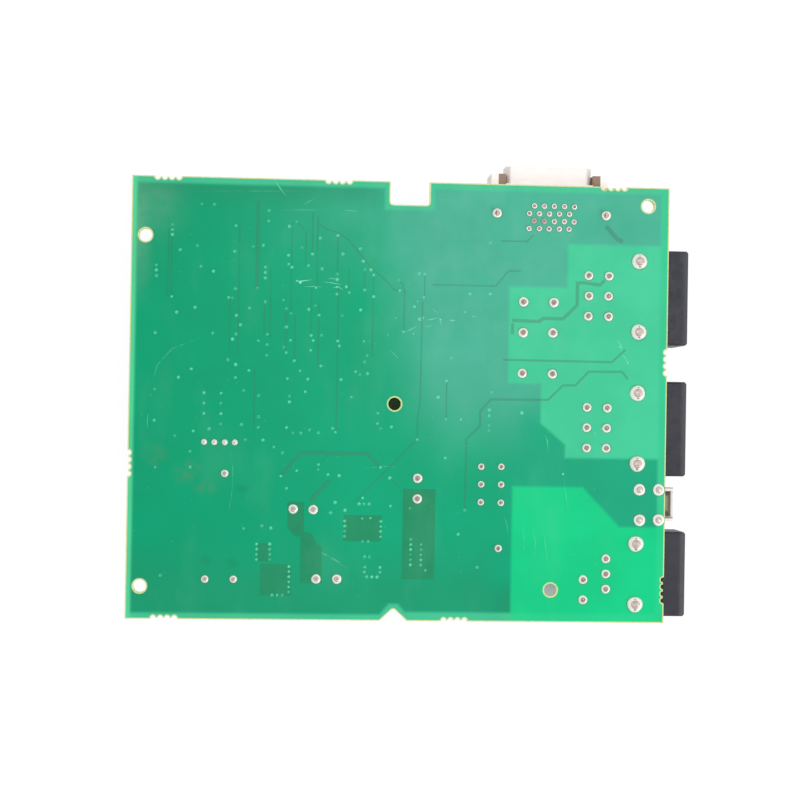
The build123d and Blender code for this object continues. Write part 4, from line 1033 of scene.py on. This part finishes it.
copper = Shape()
BITE = 0.8
for x0, x1, y0, y1 in [
    (45.6, 53.6, 29.0, 37.6), (45.6, 53.6, 18.0, 26.6), (45.6, 53.6, -4.0, 4.6), (45.6, 53.6, -16.0, -7.4),
    (-13.0, -2.0, -26.4, -24.0), (3.5, 16.0, -43.4, -42.0), (12.0, 17.4, -20.0, -10.0),
    (-35.5, -29.0, -31.0, -24.5), (44.0, 51.5, -38.0, -31.0), (-44.0, -38.5, -40.0, -25.0),
    (30.0, 42.0, -30.0, -18.0), (-60.0, -51.0, 42.0, 50.0),
]:
    copper.slab([(x0 + BITE, y0), (x1 - BITE, y0), (x1, y0 + BITE), (x1, y1 - BITE), (x1 - BITE, y1),
                 (x0 + BITE, y1), (x0, y1 - BITE), (x0, y0 + BITE)], FOOT, RUN_RISE, 0.02)
for x, y in COVERED_VIAS + VIA_ROWS:
    under_vias.turned(x, y, [(0.38, FOOT), (0.32, 0.05), (0.16, 0.05), (0.11, 0.02)], 10)
UNDER_RUN = component_resist("resist_over_component_trace", 1.7)
UNDER_POUR = component_resist("resist_over_component_pour", 1.3)
turned_over(runs).piece("component_traces", [UNDER_RUN], "laminate")
turned_over(copper).piece("component_pours", [UNDER_POUR], "laminate")
turned_over(under_vias).piece("component_vias", [UNDER_RUN], "laminate")

# plain outlines of the parts, without any lettering
legend = Shape()
LINE = 0.18
INK = 0.012
for gap, names in [
    (0.6, "processor_leads"), (0.6, "gate_array_leads"), (0.5, "memory_leads"), (0.5, "choke_base"),
    (0.6, "transformer_bobbin"), (0.5, "film_capacitor"), (0.6, "inductor"), (0.6, "varistor"),
    (0.5, "crystal"), (0.5, "stack_socket"), (0.6, "regulator_metal regulator_case"), (0.6, "switch_metal"),
    (0.5, "controller_leads"),
]:
    box = box_of(*names.split())
    legend.ribbon(rim(*box.grown(gap, gap)), LINE, INK)
    if names.endswith("_leads"):
        legend.turned(box.x0 - gap - 0.7, box.y0 - gap + 0.2, [(0.3, 0.0), (0.28, INK)], 12)
for name in ("electrolytic_a", "electrolytic_b", "electrolytic_c"):
    can = box_of(name)
    legend.ribbon(circle(can.x, can.y, can.wide / 2 + 0.5, 48) + [(can.x1 + 0.5, can.y)], LINE, INK)
for name in ("logic_circuits", "optocouplers", "power_diodes"):
    for body in islands(name):
        if body.wide >= 2:
            legend.ribbon(rim(*body.grown(*body.lengthwise(0.3, 1.9))), LINE, INK)
for chip in [chip for name in CHIPS for chip in islands(name)]:
    x0, x1, y0, y1 = chip.grown(*chip.lengthwise(0.1, 0.32))
    if chip.wide > chip.deep:
        strokes = [[(x0, y), (x1, y)] for y in (y0, y1)]
    else:
        strokes = [[(x, y0), (x, y1)] for x in (x0, x1)]
    for stroke in strokes:
        legend.ribbon(stroke, 0.12, INK)
for letter in "abc":
    x0, x1, y0, y1 = box_of(f"power_header_{letter}_housing").grown(0.5, 0.5)
    legend.ribbon([(x0 + 3.5, y1), (x0, y1), (x0, y0), (x0 + 3.5, y0)], LINE, INK)
LEGEND = moulding("plain_legend", lin(222, 224, 216), lin(236, 238, 232), 0.7, 0.2, 0.2)
turned_over(legend).piece("component_outlines", [LEGEND], "laminate")

# aluminium tops of the electrolytic capacitors, scored to vent, and their sleeves' plain stripes
CAN_TOP = 14.5 - THICKNESS
STRIPE_FOOT = 3.6 - THICKNESS
STRIPE_HALF = 0.45
SCORE = 0.04
tops = Shape()
stripes = Shape()


def scored_top(can, turn):
    tops.turned(can.x, can.y, [(4.25, CAN_TOP - 0.02), (4.2, CAN_TOP + 0.03)], 40)
    for quarter in range(4):
        start = quarter * pi / 2 + turn
        middle = start + pi / 4
        sector = [(can.x + 0.22 * cos(middle), can.y + 0.22 * sin(middle))]
        sector += arc(can.x, can.y, 4.0, start + SCORE, start + pi / 2 - SCORE, 10)
        tops.slab(sector, CAN_TOP, CAN_TOP + 0.14, 0.05)


def stripe(can, turn):
    radius = can.wide / 2
    points, faces = [], []
    for i in range(13):
        angle = turn + STRIPE_HALF * (i / 6 - 1)
        points += [(can.x + r * cos(angle), can.y + r * sin(angle), z)
                   for r in (radius - 0.05, radius + 0.03) for z in (STRIPE_FOOT, CAN_TOP - 0.15)]
    for a in range(0, 48, 4):
        b = a + 4
        faces += [(a + 2, b + 2, b + 3, a + 3), (a, a + 1, b + 1, b), (a, b, b + 2, a + 2),
                  (a + 1, a + 3, b + 3, b + 1)]
    stripes.add(points, faces + [(0, 2, 3, 1), (48, 49, 51, 50)])


for name, turn in (("electrolytic_a", 0.0), ("electrolytic_b", 2.4), ("electrolytic_c", 2.4)):
    scored_top(box_of(name), turn)
    stripe(box_of(name), turn)
ALUMINIUM = plated("can_aluminium", lin(214, 216, 218), 0.35, metal=0.9, wear=0.15)
STRIPE = moulding("sleeve_stripe", lin(150, 156, 166), lin(168, 174, 182), 0.35)
turned_over(tops).piece("capacitor_tops", [ALUMINIUM], "capacitor_sleeve")
turned_over(stripes).piece("capacitor_stripes", [STRIPE], "capacitor_sleeve")


# ---- mould marks and turns of wire

ALONG_Y = Vector((0, 1, 0))
UPRIGHT = Vector((0, 0, 1))


def hoop(shape, path, axis, wire):
    """Closed round wire along a flat loop whose upright is the axis."""
    count = len(path)
    points, faces = [], []
    around = 6
    for k, spot in enumerate(path):
        before, after = Vector(path[k - 1]), Vector(path[(k + 1) % count])
        along = (after - before).normalized()
        out = along.cross(axis)
        for i in range(around):
            angle = 2 * pi * i / around
            points.append(tuple(Vector(spot) + out * (wire * cos(angle)) + axis * (wire * sin(angle))))
    for k in range(count):
        for i in range(around):
            a, b = k * around, (k + 1) % count * around
            j = (i + 1) % around
            faces.append((a + i, b + i, b + j, a + j))
    shape.add(points, faces)


def clipped_rim(a0, a1, b0, b1, bite):
    """Rectangle with rounded corners."""
    right, left, upper, lower = a1 - bite, a0 + bite, b1 - bite, b0 + bite
    path = []
    for k, (a, b) in enumerate(((right, upper), (left, upper), (left, lower), (right, lower))):
        path += arc(a, b, bite, k * pi / 2, (k + 1) * pi / 2, 4)
    return path


# mould marks: a ring by the first lead of each package, and one in the middle of the power packages
marked = Shape()


def mould_ring(x, y, z, radius):
    hoop(marked, [(a, b, z) for a, b in circle(x, y, radius, 20)], UPRIGHT, 0.05)


for name, inset in (("processor", 1.6), ("gate_array", 1.6), ("memory", 1.3), ("supply_controller", 0.9)):
    body = box_of(name)
    mould_ring(body.x0 + inset, body.y0 + inset, body.z0, min(0.6, inset / 2))
for name in ("optocouplers", "logic_circuits", "regulator_case", "switch_case", "power_diodes"):
    for body in islands(name):
        if min(body.wide, body.deep) < 3:
            continue
        if name in ("regulator_case", "switch_case"):
            mould_ring(body.x, body.y, body.z0, 1.2)
        else:
            mould_ring(body.x0 + 0.9, body.y0 + 0.9, body.z0, 0.4)
MARK = moulding("mould_mark", lin(70, 70, 74), lin(84, 84, 88), 0.4, 0.1)
marked.piece("mould_marks", [MARK], "package_epoxy", smooth=True)


def layer(start, end, wire):
    """Middles of the turns that lie side by side from start to end."""
    count = int((end - start) / (2.1 * wire))
    pitch = (end - start - 2 * wire) / (count - 1)
    return [start + wire + k * pitch for k in range(count)]


CHOKE_WIRE = 0.4
TRANSFORMER_WIRE = 0.26
choke = Shape()
for coil in islands("choke_windings"):
    across = clipped_rim(coil.x0, coil.x1, coil.z0, coil.z1, 1.0)
    for y in layer(coil.y0, coil.y1, CHOKE_WIRE):
        hoop(choke, [(x, y, z) for x, z in across], ALONG_Y, CHOKE_WIRE)
choke.piece("choke_turns", [ENAMEL], "enamelled_wire", smooth=True)
transformer = Shape()
coil = box_of("transformer_winding")
across = clipped_rim(coil.x0, coil.x1, coil.y0, coil.y1, 1.5)
for z in layer(coil.z0, coil.z1, TRANSFORMER_WIRE):
    hoop(transformer, [(x, y, z) for x, y in across], UPRIGHT, TRANSFORMER_WIRE)
transformer.piece("transformer_turns", [ENAMEL], "enamelled_wire", smooth=True)


# ---- floor, light and camera

def sheet_of_light(name, size, spot, power):
    """Round lamp that faces the board's middle."""
    lamp = bpy.data.lights.new(name, "AREA")
    lamp.shape = "DISK"
    lamp.size = size
    lamp.energy = power
    holder = in_scene(name, lamp)
    holder.location = spot
    holder.rotation_euler = (-Vector(spot)).to_track_quat("-Z", "Y").to_euler()


def glowing(s):
    """White that still takes a shadow."""
    glow = s.new("ShaderNodeEmission", (s.mix(s.noise(40), (0.93, 0.93, 0.93), (0.95, 0.95, 0.95)),))
    dim = s.new("ShaderNodeBsdfDiffuse", ((0.09, 0.09, 0.09),))
    return s.new("ShaderNodeAddShader", (glow.outputs[0], dim.outputs[0])).outputs[0]


def make_floor():
    """Table that glows white all round the board and into the gap at its edge, but not under it."""
    s = Skin("floor", rough=0.9, spec=0.0)
    # dark under the middle of the board, where no light reaches
    shade = s.soft(s.disc(-0.4, -0.6, 9.0), 0.0, 5.0)
    s.colour(s.mix(shade, lin(228, 228, 228), lin(138, 126, 108)))
    rays = s.new("ShaderNodeLightPath").outputs
    seen = s.either(rays["Is Camera Ray"], rays["Is Glossy Ray"], rays["Is Transmission Ray"])
    around = s.soft(s.box(-RIGHT, RIGHT, -UPPER, UPPER), 12.0, 4.0)
    # the lower right hole looks onto floor shaded by the tallest header
    header = s.soft(s.disc(41.2, -48.6, 3.4), -0.8, 0.8, 1.0, 0.08)
    share = s.times(around, seen, header)
    shown = s.new("ShaderNodeMixShader", (share, s.bsdf.outputs[0], glowing(s)))
    # a glass table from beneath: it hides nothing and lets light through
    clear = s.new("ShaderNodeBsdfTransparent")
    behind = s.either(s.new("ShaderNodeNewGeometry").outputs["Backfacing"], rays["Is Shadow Ray"])
    whole = s.new("ShaderNodeMixShader", (behind, shown.outputs[0], clear.outputs[0]))
    s.put(s.tree.nodes["Material Output"].inputs["Surface"], whole.outputs[0])
    mesh = bpy.data.meshes.new("floor")
    reach, level = 3.0, -0.0001
    corners = [(-reach, -reach, level), (reach, -reach, level), (reach, reach, level), (-reach, reach, level)]
    mesh.from_pydata(corners, [], [(0, 1, 2, 3)])
    mesh.materials.append(s.material)
    floor = in_scene("floor", mesh)


def make_world():
    """A light tent: white to the camera, bright low down and dimmer overhead."""
    world = bpy.data.worlds.new("tent")
    bpy.context.scene.world = world
    world.use_nodes = True
    tent = Nodes(world.node_tree)
    place = tent.new("ShaderNodeTexCoord").outputs["Generated"]
    height = tent.new("ShaderNodeSeparateXYZ", (place,)).outputs["Z"]
    wall = tent.soft(height, 0.55, 0.95, 0.86, 0.52)
    seen = tent.new("ShaderNodeLightPath").outputs["Is Camera Ray"]
    sky = tent.tree.nodes["Background"]
    tent.put(sky.inputs["Strength"], tent.either(wall, seen))
    tent.put(sky.inputs["Color"], (1.0, 1.0, 1.0))


make_floor()
make_world()
sheet_of_light("lamp_over", 0.22, (0.12, 0.14, 0.80), 1.3)
sheet_of_light("lamp_right", 0.35, (0.55, -0.35, 0.45), 1.6)
sheet_of_light("lamp_below", 0.6, (0.05, 0.05, -0.5), 2.0)

camera = in_scene("camera", bpy.data.cameras.new("camera"))
camera.data.lens = 75.0
camera.data.sensor_width = 36.0
camera.data.clip_start = 0.01
camera.data.clip_end = 20.0
camera.location = (CENTRE_X - 26.74 * MM, CENTRE_Y - 3.48 * MM, SOLDER + 416.4 * MM)
camera.rotation_euler = (radians(0.452), radians(-3.672), radians(0.944))
bpy.context.scene.camera = camera
bpy.context.scene.view_settings.view_transform = "Standard"
